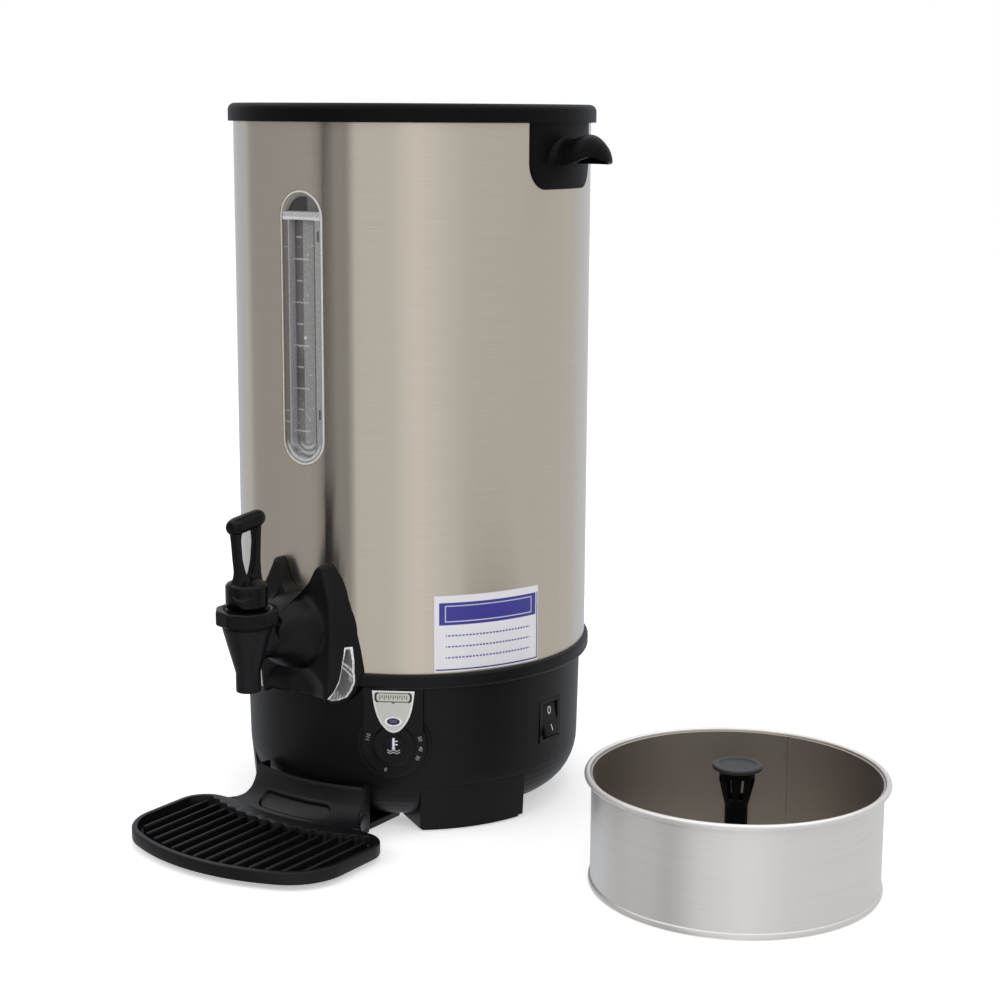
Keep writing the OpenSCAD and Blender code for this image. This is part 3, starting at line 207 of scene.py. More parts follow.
def swung(tree, noise, spread, middle):
    """A value that swings about a middle with a noise: the noise less a half, times the spread, plus the
    middle."""
    return worked(tree, "MULTIPLY_ADD", worked(tree, "SUBTRACT", noise, 0.5), spread, middle)


# Long thin streaks round the Z axis: noise on angle and height, stretched along the angle, as a mask from 0
# to 1 and as a roughness near a given one, with a few faint smudges.
brushed_lines, given, results = mask_group(
    "brushed_lines", {"Roughness": 0.28, "Spread": 0.08, "Lines": 700.0, "Smudge": 0.05},
    ("Mask", "Roughness"))
place = added(brushed_lines, "TexCoord")["Object"]
split = added(brushed_lines, "SeparateXYZ", {0: place})
spot = added(brushed_lines, "CombineXYZ", {"X": worked(brushed_lines, "ARCTAN2", split["Y"], split["X"]),
                                           "Z": worked(brushed_lines, "MULTIPLY", split["Z"],
                                                       given["Lines"])})[0]
streaks = added(brushed_lines, "TexNoise", {"Scale": 3.0, "Detail": 3.0, "Vector": spot})["Fac"]
smudges = added(brushed_lines, "TexNoise", {"Scale": 9.0, "Detail": 2.0, "Vector": place})["Fac"]
streaked = swung(brushed_lines, streaks, given["Spread"], given["Roughness"])
feed(results, {"Mask": streaks, "Roughness": swung(brushed_lines, smudges, given["Smudge"], streaked)})


def brushed_steel(name, shade, roughness, spread=0.08, lines=700.0, smudge=0.05, stretch=0.9):
    """Steel with brush lines round the Z axis: the lines change its roughness and bump, its colour a little,
    and the mirror image spreads across them."""
    steel, tree, skin = new_finish(name, {"Metallic": 1.0, "Anisotropic": stretch,
                                          "Anisotropic Rotation": 0.25})
    brushed = added(tree, "Group", {"Roughness": roughness, "Spread": spread, "Lines": lines,
                                    "Smudge": smudge},
                    node_tree=brushed_lines)
    tint = added(tree, "Mix", {"A": (*[0.93 * c for c in shade], 1),
                               "B": (*[min(1.07 * c, 1) for c in shade], 1),
                               "Factor": brushed["Mask"]}, data_type="RGBA")["Result"]
    relief = added(tree, "Bump", {"Strength": 0.35, "Distance": 0.00001, "Height": brushed["Mask"]})[0]
    way = added(tree, "Tangent", direction_type="RADIAL", axis="Z")[0]
    feed(skin, {"Roughness": brushed["Roughness"], "Base Color": tint, "Tangent": way, "Normal": relief})
    return steel


def dress(finish, *names):
    """Gives CAD nodes one material in place of their own."""
    for name in names:
        mesh = nodes[name].data
        mesh.materials.clear()
        mesh.materials.append(finish)


jacket_steel = brushed_steel("jacket_steel", (0.64, 0.585, 0.50), 0.20, spread=0.06, smudge=0.04, stretch=1.0)
dress(jacket_steel, "outer_jacket")

# ---- tank ----
# Drawn stainless tank inside the jacket, bright and finely turned. The pump tube that stands in it and the
# sunk lid that closes it are of the same steel.
dress(brushed_steel("tank_steel", (0.63, 0.62, 0.60), 0.24, lines=500.0), "inner_tank", "pump_tube", "lid")

# ---- handles ----
# Two black plastic grips: a plate that lies on the jacket under the collar, with a hooded finger hold that
# grows out of it in a soft fillet and is open underneath. Each is screwed from inside the jacket.
jacket_r = 132.0

# Fine even moulded grain: small noise as a height, and a roughness that wanders with a larger noise.
moulded_grain, given, results = mask_group(
    "moulded_grain", {"Grain": 2200.0, "Roughness": 0.45, "Spread": 0.08}, ("Height", "Roughness"))
place = added(moulded_grain, "TexCoord")["Object"]
pits = added(moulded_grain, "TexNoise", {"Detail": 2.0, "Vector": place, "Scale": given["Grain"]})["Fac"]
patches = added(moulded_grain, "TexNoise", {"Scale": 14.0, "Detail": 3.0, "Vector": place})["Fac"]
feed(results, {"Height": pits, "Roughness": swung(moulded_grain, patches, given["Spread"],
                                                  given["Roughness"])})


def plastic(name, shade, roughness, grain=2200.0, height=0.00003, gloss=0.3):
    """Moulded plastic: one shade, a fine grain in its bump, and a roughness that wanders a little."""
    finish, tree, skin = new_finish(name, {"Base Color": (*shade, 1), "Specular IOR Level": gloss})
    grained = added(tree, "Group", {"Grain": grain, "Roughness": roughness}, node_tree=moulded_grain)
    relief = added(tree, "Bump", {"Strength": 0.25, "Distance": height, "Height": grained["Height"]})[0]
    feed(skin, {"Roughness": grained["Roughness"], "Normal": relief})
    return finish


def at_angle(across, out, high, degrees):
    """A point that is so far across, outwards and high facing the tap, turned round the urn's axis by an
    angle: x is across cos a + out sin a, and y is across sin a - out cos a."""
    a = np.radians(degrees)
    across, out, high = np.broadcast_arrays(across, out, high)
    return np.stack([across * np.cos(a) + out * np.sin(a), across * np.sin(a) - out * np.cos(a), high], -1)


def s_curve(value, start, end):
    """Rises from 0 at start to 1 at end: 3 t squared less 2 t cubed."""
    t = np.clip((value - start) / (end - start), 0, 1)
    return t * t * (3 - 2 * t)


def eased(corners, reach, steps=6):
    """A line through corners with each inner corner rounded: a parabola that leaves one side at reach before
    the corner and joins the next side at reach after it."""
    line = np.array(corners, float)
    before, corner, after = line[:-2], line[1:-1], line[2:]
    back, on = before - corner, after - corner
    far_back, far_on = (np.linalg.norm(side, axis=1, keepdims=True) for side in (back, on))
    cut = np.minimum(np.broadcast_to(np.array(reach, float), len(corner))[:, None],
                     0.49 * np.minimum(far_back, far_on))
    start, stop = corner + back / far_back * cut, corner + on / far_on * cut
    t = np.linspace(0, 1, steps)[None, :, None]
    bends = (1 - t) ** 2 * start[:, None] + 2 * t * (1 - t) * corner[:, None] + t ** 2 * stop[:, None]
    return np.concatenate([line[:1], bends.reshape(-1, line.shape[1]), line[-1:]])


def spaced(line, step):
    """The same line with points added so that no two lie further apart than step."""
    gaps = np.linalg.norm(np.diff(line, axis=0), axis=1)
    at = np.concatenate([[0], np.cumsum(gaps)])
    spots = np.unique(np.concatenate([at, np.linspace(0, at[-1], int(at[-1] / step) + 1)]))
    return np.stack([np.interp(spots, at, line[:, k]) for k in range(line.shape[1])], 1)


def shaped(name, grids, finish, body, stands_for=(), sharp=38, looks=None, tones=()):
    """One piece from grids of points in millimetres. Four neighbours in a grid make a face, and points that
    meet become one. A closed piece gets its faces turned outwards. An open sheet faces the way looks says."""
    starts = np.cumsum([0] + [grid[..., 0].size for grid in grids])
    mesh = bpy.data.meshes.new(name)
    mesh.from_pydata((np.concatenate([grid.reshape(-1, 3) for grid in grids]) / 1000).tolist(), [],
                     np.concatenate([quads_of(grid, start) for grid, start in zip(grids, starts)]).tolist())
    if tones:
        shade_points(mesh, np.concatenate([shades.reshape(-1, 3) for shades in tones]))
    skin = bmesh.new()
    skin.from_mesh(mesh)
    bmesh.ops.remove_doubles(skin, verts=skin.verts, dist=2e-6)
    bmesh.ops.dissolve_degenerate(skin, edges=skin.edges, dist=1e-7)
    if looks is None:
        bmesh.ops.recalc_face_normals(skin, faces=skin.faces)
    elif sum(face.normal.dot(looks) * face.calc_area() for face in skin.faces) < 0:
        bmesh.ops.reverse_faces(skin, faces=skin.faces)
    skin.to_mesh(mesh)
    skin.free()
    mesh.shade_smooth()
    mesh.set_sharp_from_angle(angle=np.radians(sharp))
    mesh.materials.append(finish)
    piece = on_set(name, mesh)
    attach(piece, body)
    if stands_for:
        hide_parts(*stands_for)


def mirrored(right):
    """A plan line from its right half, which starts and ends on the middle line."""
    return np.concatenate([right, (right * (-1, 1))[::-1][1:]])


def joined(face, under, rows=(0, -1), columns=(0, -1)):
    """Narrow walls between two like grids, along their outer rows and their outer columns."""
    return ([np.stack([face[k], under[k]]) for k in rows]
            + [np.stack([face[:, k], under[:, k]]) for k in columns])


def level_ring(line, height):
    """A plan line at one height."""
    return np.concatenate([line, np.full((len(line), 1), height)], 1)


def walled(line, rows, centre, place):
    """Closed body over an outline: line(inset) gives a ring of plan points, and each row is an inset and a
    height. The first and the last ring are closed by rings that shrink to the centre. place(a, b, height)
    sets it up."""
    rings = [level_ring(line(inset), height) for inset, height in rows]
    foot, top = ([np.concatenate([centre + (ring[:, :2] - centre) * share, ring[:, 2:]], 1)
                  for share in (0.0, 0.33, 0.66)] for ring in (rings[0], rings[-1]))
    grid = np.stack(foot + rings + top[::-1])
    return place(grid[..., 0], grid[..., 1], grid[..., 2])


handle_black = plastic("handle_satin", (0.0030, 0.0029, 0.0038), 0.42, gloss=0.085)
dress(handle_black, "top_collar")

plate_out = jacket_r + 1.9
plate_low, plate_high = 461.5, 507.5
plate_half = jacket_r * np.sin(np.radians(17.2))


def plate_line(inset):
    """Plate seen from outside: upright sides, and lower corners that are quarters of a tall ellipse."""
    wide, tall = 15.0, 19.0
    low, side = plate_low + inset, plate_half - inset
    t = np.linspace(0, np.pi / 2, 14)
    corner = np.stack([side - wide + wide * np.sin(t), low + tall - tall * np.cos(t)], 1)
    right = np.concatenate([np.stack([np.linspace(0, side - wide, 10)[:-1], np.full(9, low)], 1), corner,
                            np.stack([np.full(10, side), np.linspace(low + tall, plate_high, 11)[1:]], 1),
                            np.stack([np.linspace(side, 0, 12)[1:], np.full(11, plate_high)], 1)])
    return mirrored(right)


# The hood's rows: distance out from the urn's axis, half width, and height over the lip.
lip_z, hood_wall, hood_long = 478.8, 2.3, 36
hood_rows = spaced(eased([[132.9, 26.0, 20.6], [134.4, 23.4, 18.7], [136.6, 21.3, 17.7], [140.5, 20.7, 18.0],
                          [146, 20.6, 19.7], [150.5, 20.2, 20.8], [155.4, 18.6, 19.7], [159.8, 15.9, 16.9],
                          [163.4, 12.2, 12.4], [166.0, 7.6, 7.2], [167.2, 3.0, 2.6], [167.4, 0.0, 0.0]],
                         [0.8, 1.2, 2, 2.6, 2.4, 2.4, 2.2, 2, 1.6, 0.9], 6), 1.0)
for name, turned_to in (("handle_right", 91.5), ("handle_left", -91.5)):
    def on_plate(across, high, lift):
        """Lays a flat outline on the jacket's round wall."""
        return at_angle(across, np.sqrt((jacket_r + lift) ** 2 - across ** 2), high, turned_to)

    plate = walled(plate_line, [(0.0, 0.05), (0.0, 1.2), (0.25, 1.7), (0.8, 1.9)], (0, 485), on_plate)
    # The hood is a row of half ellipses over the lip, from a flare in the plate to the tip, each with its own
    # half width and height. The lip is arched on the side towards the tap.
    round_turn = np.linspace(0, np.pi, 61)[None, :]
    near_share = 1 - s_curve(round_turn, 0.2, 2.2)
    skins = []
    for inset in (0.0, hood_wall):
        reach, wide, tall = (hood_rows - (0, inset, inset)).clip(0).T[..., None]
        reach = hood_rows[0, 0] + (reach - hood_rows[0, 0]) * (1 - inset / hood_long)
        arch = (np.interp(reach, [146, 151, 155, 159, 163, 167.4], [0, 1.3, 3.6, 5.4, 5.4, 2.0]) * near_share
                + np.interp(reach, [160, 167.4], [0, 2.0]) * (1 - near_share))
        across = -np.sign(turned_to) * wide * np.cos(round_turn)
        out = reach - plate_out + np.sqrt(plate_out ** 2 - across ** 2)
        skins.append(at_angle(across, out, lip_z + arch + tall * np.sin(round_turn), turned_to))
    outer, inner = skins
    shaped(name + "_moulding", [plate, outer, inner, *joined(outer, inner)], handle_black, "urn", (name,),
           sharp=50)

# ---- base and small mouldings ----
# The base is one deep moulding that carries the jacket on its ledge. It and the small black parts on the
# urn are moulded in a satin plastic that is a shade glossier than the handles.
black = plastic("black_satin", (0.0045, 0.0044, 0.0054), 0.40, gloss=0.19)
dress(black, "base_housing", "tap_bonnet", "switch_housing", "cord_gland", "lid_knob", "shank_spacer")

# ---- tap shroud ----
# Black cover over the tap's shank: two horns that lean back to the jacket, a dome round the shank, a scoop
# under it for the finger, and bevelled sides that hold the two lamp lenses.
shroud_front, tap_axis_z, ball_r, ball_out = 146.5, 150, 28, 142.6
lip_low, lip_high, lip_out, base_out = 109.5, 121.5, 135.0, 129.0


def body_wall(across, high):
    """How far out the urn stands behind the shroud: the jacket above, the lip and the base wall below."""
    round_r = np.where(high > lip_high, jacket_r, np.where(high > lip_low, lip_out, base_out))
    return np.sqrt(round_r ** 2 - across ** 2) + 0.35


shroud_foot = eased([[25, 102.3], [29, 99.2], [35, 98.8], [43.6, 107.4], [47.2, 122.0]], [2, 3, 7], 8)
shroud_side = eased([[47.2, 122.0], [45.9, 131.0], [43.2, 145.4], [37.4, 170.5], [28.3, 194.0]], 4)
tip_turn, valley_turn = np.radians(np.linspace(10, 172, 14)), np.radians(np.linspace(-2, -90, 18))
shroud_right = np.concatenate([
    [[0, 102.3]], shroud_foot, shroud_side[1:],
    np.stack([21.6 + 6.5 * np.cos(tip_turn), 192.7 + 6.5 * np.sin(tip_turn)], 1),
    np.stack([14.4 * np.cos(valley_turn), 190.5 + 12.0 * np.sin(valley_turn)], 1)])


def shroud_reach(bearing):
    """Distance of the shroud's edge from the tap's axis, at bearings from straight down, seen from the
    front."""
    sideways, down = shroud_right[:, 0], tap_axis_z - shroud_right[:, 1]
    return np.interp(np.abs(bearing), np.arctan2(sideways, down), np.hypot(sideways, down))


shroud_nose = eased([[24.0, 157.02], [22.2, 159.66], [16.6, 166.2], [13.9, 172.0], [13.2, 176.0], [0, 176.0]],
                    [1.5, 3.2, 2.0, 0.5], 8)


def shroud_out(across, high):
    """How far out the shroud's face is. A flat front runs to a crease, and steep sides fall from it to the
    jacket. A ball swells out, fuller on top, and narrows to the shank. An arched scoop is sunk under it."""
    side = np.abs(across)
    outer = np.concatenate([shroud_foot[-8:], shroud_side[1:]])
    edge = np.interp(high, outer[:, 1], outer[:, 0])
    crease = np.interp(high, [98, 125, 155, 166, 176, 196], [30, 32.5, 34.2, 33.4, 31.2, 22.6])
    crease = np.minimum(crease, edge - 2)
    low = np.sqrt(jacket_r ** 2 - np.clip(edge, 0, 60) ** 2) + 2.0
    share = np.clip((side - crease) / (edge - crease), 0, 1)
    front = shroud_front - 0.15 * np.clip(high - 160, 0, None) - 0.0018 * side ** 2
    flank = front - (front - low) * (0.86 * share + 0.14 * share ** 2)
    flank = flank - 0.5 * np.exp(-((side - crease) / 1.2) ** 2)
    away = np.hypot(across, high - tap_axis_z)
    away = ball_r * (away / ball_r) ** (1 + 0.6 * s_curve(high, 150, 170))
    swell = np.sqrt(np.clip(ball_r ** 2 - away ** 2, 0, None))
    ball = ball_out + np.where(away < ball_r, swell, -3 * (away - ball_r))
    ball = np.where(away < 23.2, np.interp(away, shroud_nose[::-1, 0], shroud_nose[::-1, 1]), ball)
    ball = np.minimum(ball, 176 - 6 * s_curve(high, 157, 165))
    face = (flank + ball + np.sqrt((flank - ball) ** 2 + 9 + 70 * s_curve(high, 152, 174))) / 2 - 0.12
    deep = 1 - np.hypot(across / 25.4, np.clip(high - 105.6, 0, None) / 20)
    return face - 7.4 * s_curve(deep, -0.22, 0.62) - 0.9 * s_curve(deep, 0, 0.035)


bearing = np.linspace(-np.pi, np.pi, 361)
edge_far = shroud_reach(bearing)
share = np.concatenate([np.linspace(0, 0.955, 64), [0.972, 0.986, 0.995, 1.0]])
across = share[:, None] * edge_far * np.sin(bearing)
high = tap_axis_z - share[:, None] * edge_far * np.cos(bearing)
out = shroud_out(across, high)
rolled = np.clip((share - 0.94) / 0.06, 0, 1)[:, None]
out = out - (1.6 + 2.2 * s_curve(high, 176, 197)) * (1 - np.sqrt(np.clip(1 - rolled ** 2, 0, 1)))
behind = body_wall(across, high)
out = np.maximum(out, behind + 0.6)
front_face = at_angle(across, out, high, 0)
rim = at_angle(across[-1:], out[-1:] + (behind[-1:] - out[-1:]) * np.linspace(0, 1, 6)[:, None], high[-1:], 0)
back_face = at_angle(across, behind, high, 0)
shaped("tap_shroud_moulding", [front_face, rim, back_face], black, "urn", ("tap_shroud",),
       sharp=52)

# ---- lamp lenses ----
# Clear drop-shaped lenses let into the shroud's sides, one in front of each lamp, with a raised edge, a cross
# bar and a beaded lower end, which are painted bright as highlights. Both have the same form, worked out once
# and set on the right and the left.


def within(value, low, high, soft):
    """1 between two limits and 0 outside them, with an s-curve of a given half width at each."""
    return s_curve(value, low - soft, low + soft) * (1 - s_curve(value, high - soft, high + soft))


def toned(name, roughness, coat, fleck, grain=900.0):
    """Plastic or print that takes its colour from the piece's own shade map, with a fine fleck over it."""
    finish, tree, skin = new_finish(name, {"Specular IOR Level": 0.5, "Coat Weight": coat,
                                           "Coat Roughness": 0.08})
    grained = added(tree, "Group", {"Grain": grain, "Roughness": roughness}, node_tree=moulded_grain)
    flecks = added(tree, "MapRange", {"From Min": 0.3, "From Max": 0.7, "To Min": 1 - fleck,
                                      "To Max": 1 + fleck, "Value": grained["Height"]})["Result"]
    tone = added(tree, "Attribute", attribute_name="tone")["Color"]
    shade = added(tree, "Mix", {"Factor": 1.0, "A": tone, "B": flecks}, data_type="RGBA",
                  blend_type="MULTIPLY")
    feed(skin, {"Roughness": grained["Roughness"], "Base Color": shade["Result"]})
    return finish


lens_plastic = toned("lens_plastic", 0.12, coat=0.6, fleck=0.35)
drop_low = np.array([[30.2, 103.9], [32.8, 107.7], [34.7, 112.3], [36.3, 117.0], [37.5, 123.7], [38.1, 129.1],
                     [38.6, 135.2], [38.9, 141.2]])
drop_high = np.array([[32.0, 102.4], [34.9, 102.2], [37.9, 103.7], [40.8, 108.4], [42.9, 114.1],
                      [43.5, 119.7], [43.1, 131.0], [41.9, 141.1]])
t = np.linspace(0, 1, 101)
u = np.linspace(0, 1, 31)[:, None]
steps = np.linspace(0, 1, len(drop_low))
one, other = (np.stack([np.interp(t, steps, drop[:, k]) for k in (0, 1)], 1)
              for drop in (drop_low, drop_high))
spot = one * (1 - u[..., None]) + other * u[..., None]
across, high = spot[..., 0], spot[..., 1]
edge = np.minimum(np.minimum(u, 1 - u) * np.hypot(*(other - one).T), np.minimum(t, 1 - t) * 40)
lift = 0.3 + 0.9 * np.sqrt(np.clip(edge / 1.6, 0, 1)) - 0.7 * s_curve(edge, 1.1, 2.0)
bar = (np.exp(-((t - 0.685) / 0.014) ** 2) + np.exp(-((t - 0.755) / 0.014) ** 2)
       + 0.5 * np.exp(-((u - 0.72) / 0.10) ** 2) * within(t, 0.56, 0.70, 0.02))
bead = (0.5 + 0.5 * np.sin(across * 3.3 + high * 1.9) * np.sin(across * 2.1 - high * 2.7)) * (
    1 - s_curve(t, 0.22, 0.34)) * s_curve(edge, 0.4, 1.0)
# Painted highlights: the raised edge, the cross bar and the bead are painted near white on the dark lens.
painted_highlight = np.clip(1 - s_curve(edge, 0.5, 1.1) + 0.7 * bar + 0.6 * bead ** 2, 0, 1)[..., None]
dark = np.array((0.055, 0.055, 0.06)) + 0.05 * s_curve(u, 0.3, 0.9)[..., None]
paint = dark * (1 - painted_highlight) + np.array((0.86, 0.86, 0.84)) * painted_highlight
for name, hand in (("indicator_lens_right", 1), ("indicator_lens_left", -1)):
    outer_face = at_angle(hand * across, shroud_out(across, high) + lift + 0.4 * bar + 0.5 * bead, high, 0)
    inner_face = at_angle(hand * across, shroud_out(across, high) - 0.8, high, 0)
    walls = joined(outer_face, inner_face)
    # The inner face carries the same paint at 0.4, as painted shade.
    shaped(name + "_drop", [outer_face, inner_face, *walls], lens_plastic, "urn", (name,),
           sharp=60, tones=[paint, paint * 0.4] + [0.8 + 0 * wall for wall in walls])

# ---- tap lever ----
# Black lever that lifts the valve: a round foot that rocks on the bonnet, two legs that spring out of it in a
# hollow curve, and a round bar across their tops. It turns on a steel pin through the foot.
tap_y, lever_z, foot_r, bar_z, bar_lean = -194.5, 185.0, 14.7, 237.0, 0.096
around = np.linspace(0, 2 * np.pi, 145)
foot_rows = spaced(eased([[0, -8.6], [12.8, -8.6], [foot_r, -6.8], [foot_r, 8.0], [13.4, 9.6], [6.4, 13.0],
                          [0, 14.6]], [1.2, 1.5, 0.7, 0.6, 3.0], 6), 0.45)
foot_across = foot_rows[:, :1] * np.sin(around)
foot_along = -foot_rows[:, :1] * np.cos(around)
foot_high = foot_rows[:, 1:] + 0 * around
# The bottom is cut back to a rocking curve in front and behind.
rock = np.interp(foot_high, [-8.6, -8.2, -7, -5, -2, 0], [7.6, 9.6, 11.6, 13.4, 14.6, 15.0])
foot_along = np.clip(foot_along, -rock, rock)
# A crescent is sunk into the front under a straight upper edge.
turn_in = (around[None, :] - np.radians(24) + np.pi) % (2 * np.pi) - np.pi
crescent = 1 - np.hypot(foot_r * np.sin(turn_in) / 8.9, (foot_high - 5.4) / 6.8)
sunk = s_curve(crescent, 0, 0.3) * s_curve(5.4 - foot_high, 0, 0.7) * (np.cos(turn_in) > 0)
drawn_in = 1 - 0.11 * sunk * (foot_rows[:, :1] > 12)
foot = np.stack([foot_across * drawn_in, foot_along * drawn_in + tap_y, foot_high + lever_z], -1)


def leg(heights, front, back, half):
    """A leg from its side view: front and back edges and half thickness at each height. Its section is a soft
    rectangle, the sign of cosine and sine times their root."""
    z = np.linspace(heights[0], heights[-1], 42)[:, None]
    a, b, w = (np.interp(z, heights, line) for line in (front, back, half))
    smooth = np.array([1, 2, 3, 2, 1]) / 9
    a, b, w = (np.convolve(np.pad(line[:, 0], 2, mode="edge"), smooth, "valid")[:, None]
               for line in (a, b, w))
    t = np.linspace(0, 2 * np.pi, 33)
    c, s = np.sign(np.cos(t)) * np.abs(np.cos(t)) ** 0.45, np.sign(np.sin(t)) * np.abs(np.sin(t)) ** 0.45
    return np.stack([w * c, (a + b) / 2 + (b - a) / 2 * s, z + 0 * t], -1)


front_leg = leg([192.5, 194, 196, 198.5, 203, 212, 226, 231, 236, 240],
                [-207.4, -207.4, -206.9, -205.4, -204.9, -206.2, -207.6, -208.4, -209.0, -209.0],
                [-190.0, -191.4, -193.6, -195.8, -197.6, -200.2, -201.4, -200.2, -197.0, -196],
                [6.4, 6.0, 5.0, 4.0, 3.2, 2.9, 2.9, 3.1, 3.6, 3.6])
back_leg = leg([192.5, 194, 197, 200, 209, 223, 230, 236, 240],
               [-197.0, -196.0, -192.8, -190.6, -187.9, -186.2, -187, -189.4, -190],
               [-181.8, -181.8, -181.6, -181.4, -181.8, -181.0, -180.6, -180.4, -180.4],
               [6.4, 5.8, 4.4, 3.4, 3.0, 2.9, 3.1, 3.6, 3.6])
bar_rows = spaced(eased([[0, -210.8], [4.4, -210.4], [6.2, -205.6], [6.2, -182.2], [4.4, -177.6],
                         [0, -177.2]],
                        [2.0, 4.0, 4.0, 2.0], 10), 1.0)
bar = np.stack([bar_rows[:, :1] * np.sin(around[::2]), bar_rows[:, 1:] + 0 * around[::2],
                bar_z + bar_lean * (bar_rows[:, 1:] + 194.2) + bar_rows[:, :1] * np.cos(around[::2])], -1)
gloss_black = plastic("black_gloss", (0.0030, 0.0028, 0.0038), 0.24, grain=1500.0, height=0.00002, gloss=0.17)
for part, grid in (("foot", foot), ("front_leg", front_leg), ("back_leg", back_leg), ("bar", bar)):
    ends = ([np.stack([grid[k], grid[k].mean(0) + 0 * grid[k]]) for k in (0, -1)]
            if part.endswith("leg") else [])
    shaped("tap_lever_" + part, [grid, *ends], gloss_black, "tap_lever",
           ("tap_lever",) if part == "foot" else (), sharp=42)

# ---- ring nut ----
# Ten-sided nut, moulded in gloss black with a turned chamfer round its upper edge. It screws on the tap's
# body and clamps the bonnet there.
nut_turn, side_turn = np.radians(4), np.pi / 5


def revolved(radius, high, around, x, y):
    """A profile turned about an upright axis: x plus radius times cosine, and y plus radius times sine."""
    return np.stack([x + radius * np.cos(around), y + radius * np.sin(around), high + 0 * around], -1)


nut_rows = eased([[16.2, 176.0], [17.6, 176.6], [21.4, 176.6], [22.5, 175.5], [22.5, 167.0], [21.6, 165.9],
                  [17.3, 165.9], [16.2, 166.4], [16.2, 176.0]], [0.4, 0.8, 0.5, 0.6, 0.6, 0.5, 0.3], 5)
around = np.linspace(0, 2 * np.pi, 201)
facet = np.cos(side_turn / 2) / np.cos((around - nut_turn + side_turn / 2) % side_turn - side_turn / 2)
shape = 1 + (np.minimum(facet, 0.992)[None, :] - 1) * s_curve(nut_rows[:, :1], 19.0, 21.6)
nut = revolved(nut_rows[:, :1] * shape, nut_rows[:, 1:], around, 0, tap_y)
shaped("tap_ring_nut_turned", [nut], gloss_black, "urn", ("tap_ring_nut",), sharp=28)

# ---- tap body ----
# Funnel with a straight spout under it, moulded in satin black in one with the round shank that carries it
# out of the shroud.


def turned_out(profile, degrees, middle_z, count=121):
    """Profile of radius and outward distance, revolved about a line that points straight out from the urn."""
    around = np.linspace(0, 2 * np.pi, count)
    rows = np.array(profile, float)
    return at_angle(rows[:, :1] * np.sin(around), rows[:, 1:] + 0 * around,
                    middle_z + rows[:, :1] * np.cos(around), degrees)


tap_black = plastic("tap_satin", (0.0068, 0.0064, 0.0084), 0.34, gloss=0.20)
around = np.linspace(0, 2 * np.pi, 97)
funnel_rows = spaced(eased([[0, 123.0], [6.6, 122.4], [6.6, 117.6], [7.3, 117.0], [8.3, 117.0], [8.6, 117.6],
                            [8.6, 130.6], [17.2, 162.0], [17.4, 163.6], [16.7, 164.2], [16.7, 166.6],
                            [0, 166.8]],
                           [0.3, 0.3, 0.3, 0.3, 0.3, 1.0, 1.2, 0.4, 0.3, 0.3], 5), 3.0)
funnel = revolved(funnel_rows[:, :1], funnel_rows[:, 1:], around, 0, tap_y)
shank = turned_out([[0, 171.0], [12.8, 171.0], [12.8, 190.0], [0, 190.0]], 0, tap_axis_z, 97)
shaped("tap_body_funnel", [funnel, shank], tap_black, "urn", ("tap_body",), sharp=35)

# ---- sight window ----
# One clear moulding clamped in the jacket's slot: a raised rim, a flat land, a deep channel down the middle
# with a moulded scale of plain ticks, and a shelf near the top with a hollow above it. Its shade map carries
# painted light: highlights on the rim, on rings at its low end, on the shelf and on the drops, a lit left
# channel wall, and painted shade on the left land, the channel's left half and right wall, the two slots, the
# hollow and the back face.
window_z, window_half, window_flank = 364.6, 18.85, 77.7
channel_half, channel_foot, shelf_z, window_front, window_back = 11.0, 283.0, 440.5, 131.0, 125.6


def ink(*grey):
    """A shade from its screen value: the value over 255, to the power 2.2."""
    return np.array(grey if len(grey) == 3 else grey * 3) ** 2.2 / 255 ** 2.2


def painted(paint, *coats):
    """Lays coats over a paint, one after the other: each is a shade and a mask from 0 to 1, how far it
    covers."""
    for shade, mask in coats:
        paint = paint + (shade - paint) * np.clip(mask, 0, 1)[..., None]
    return paint


def mixed(one, other, share):
    """Two shades mixed: the first times one less the share, plus the second times the share."""
    return one * (1 - share)[..., None] + other * share[..., None]


end = window_half * np.sin(np.linspace(np.pi / 2, 0, 44))
rows = np.concatenate([-window_flank - end, np.linspace(-window_flank, window_flank, 285)[1:-1],
                       window_flank + end[::-1]])
reach = np.sqrt(np.clip(window_half ** 2 - np.clip(np.abs(rows) - window_flank, 0, None) ** 2, 0, None))
across = reach[:, None] * np.linspace(-1, 1, 125)
high = window_z + rows[:, None] + 0 * across
from_edge = window_half - np.hypot(across, np.clip(np.abs(high - window_z) - window_flank, 0, None))
below_shelf = 1 - s_curve(high, shelf_z - 0.2, shelf_z + 0.2)
in_channel = channel_half - np.hypot(across, np.clip(channel_foot - high, 0, None))
channel = s_curve(in_channel, 0.0, 1.3) * below_shelf
shelf = within(high, shelf_z, 446.0, 0.4) * s_curve(17.2 - np.abs(across), 0, 0.6)
hollow = s_curve(high, 446.2, 446.9) * s_curve(from_edge, 1.6, 5.0)
out = (window_front + 1.2 * (1 - s_curve(from_edge, 1.4, 1.9)) - 0.7 * (1 - s_curve(from_edge, 0.0, 0.5))
       - 5.0 * channel + 0.5 * shelf - 3.4 * hollow)
left_side = 1 - s_curve(across, -2.6, -1.6)
sunk = s_curve(in_channel, 0.9, 1.6)
# Painted shade on the channel's left half: a grey that changes with height.
channel_shade = np.interp(high, [283, 300, 330, 360, 400, 440], [104, 110, 82, 98, 94, 88])[..., None]
# Painted highlights: light and dark rings round the low end of the rim.
ring_highlights = 0.5 + 0.5 * np.cos(from_edge * 1.55 + 0.4)
low_end = (1 - s_curve(high, 279, 286)) * s_curve(from_edge, 1.8, 2.4)
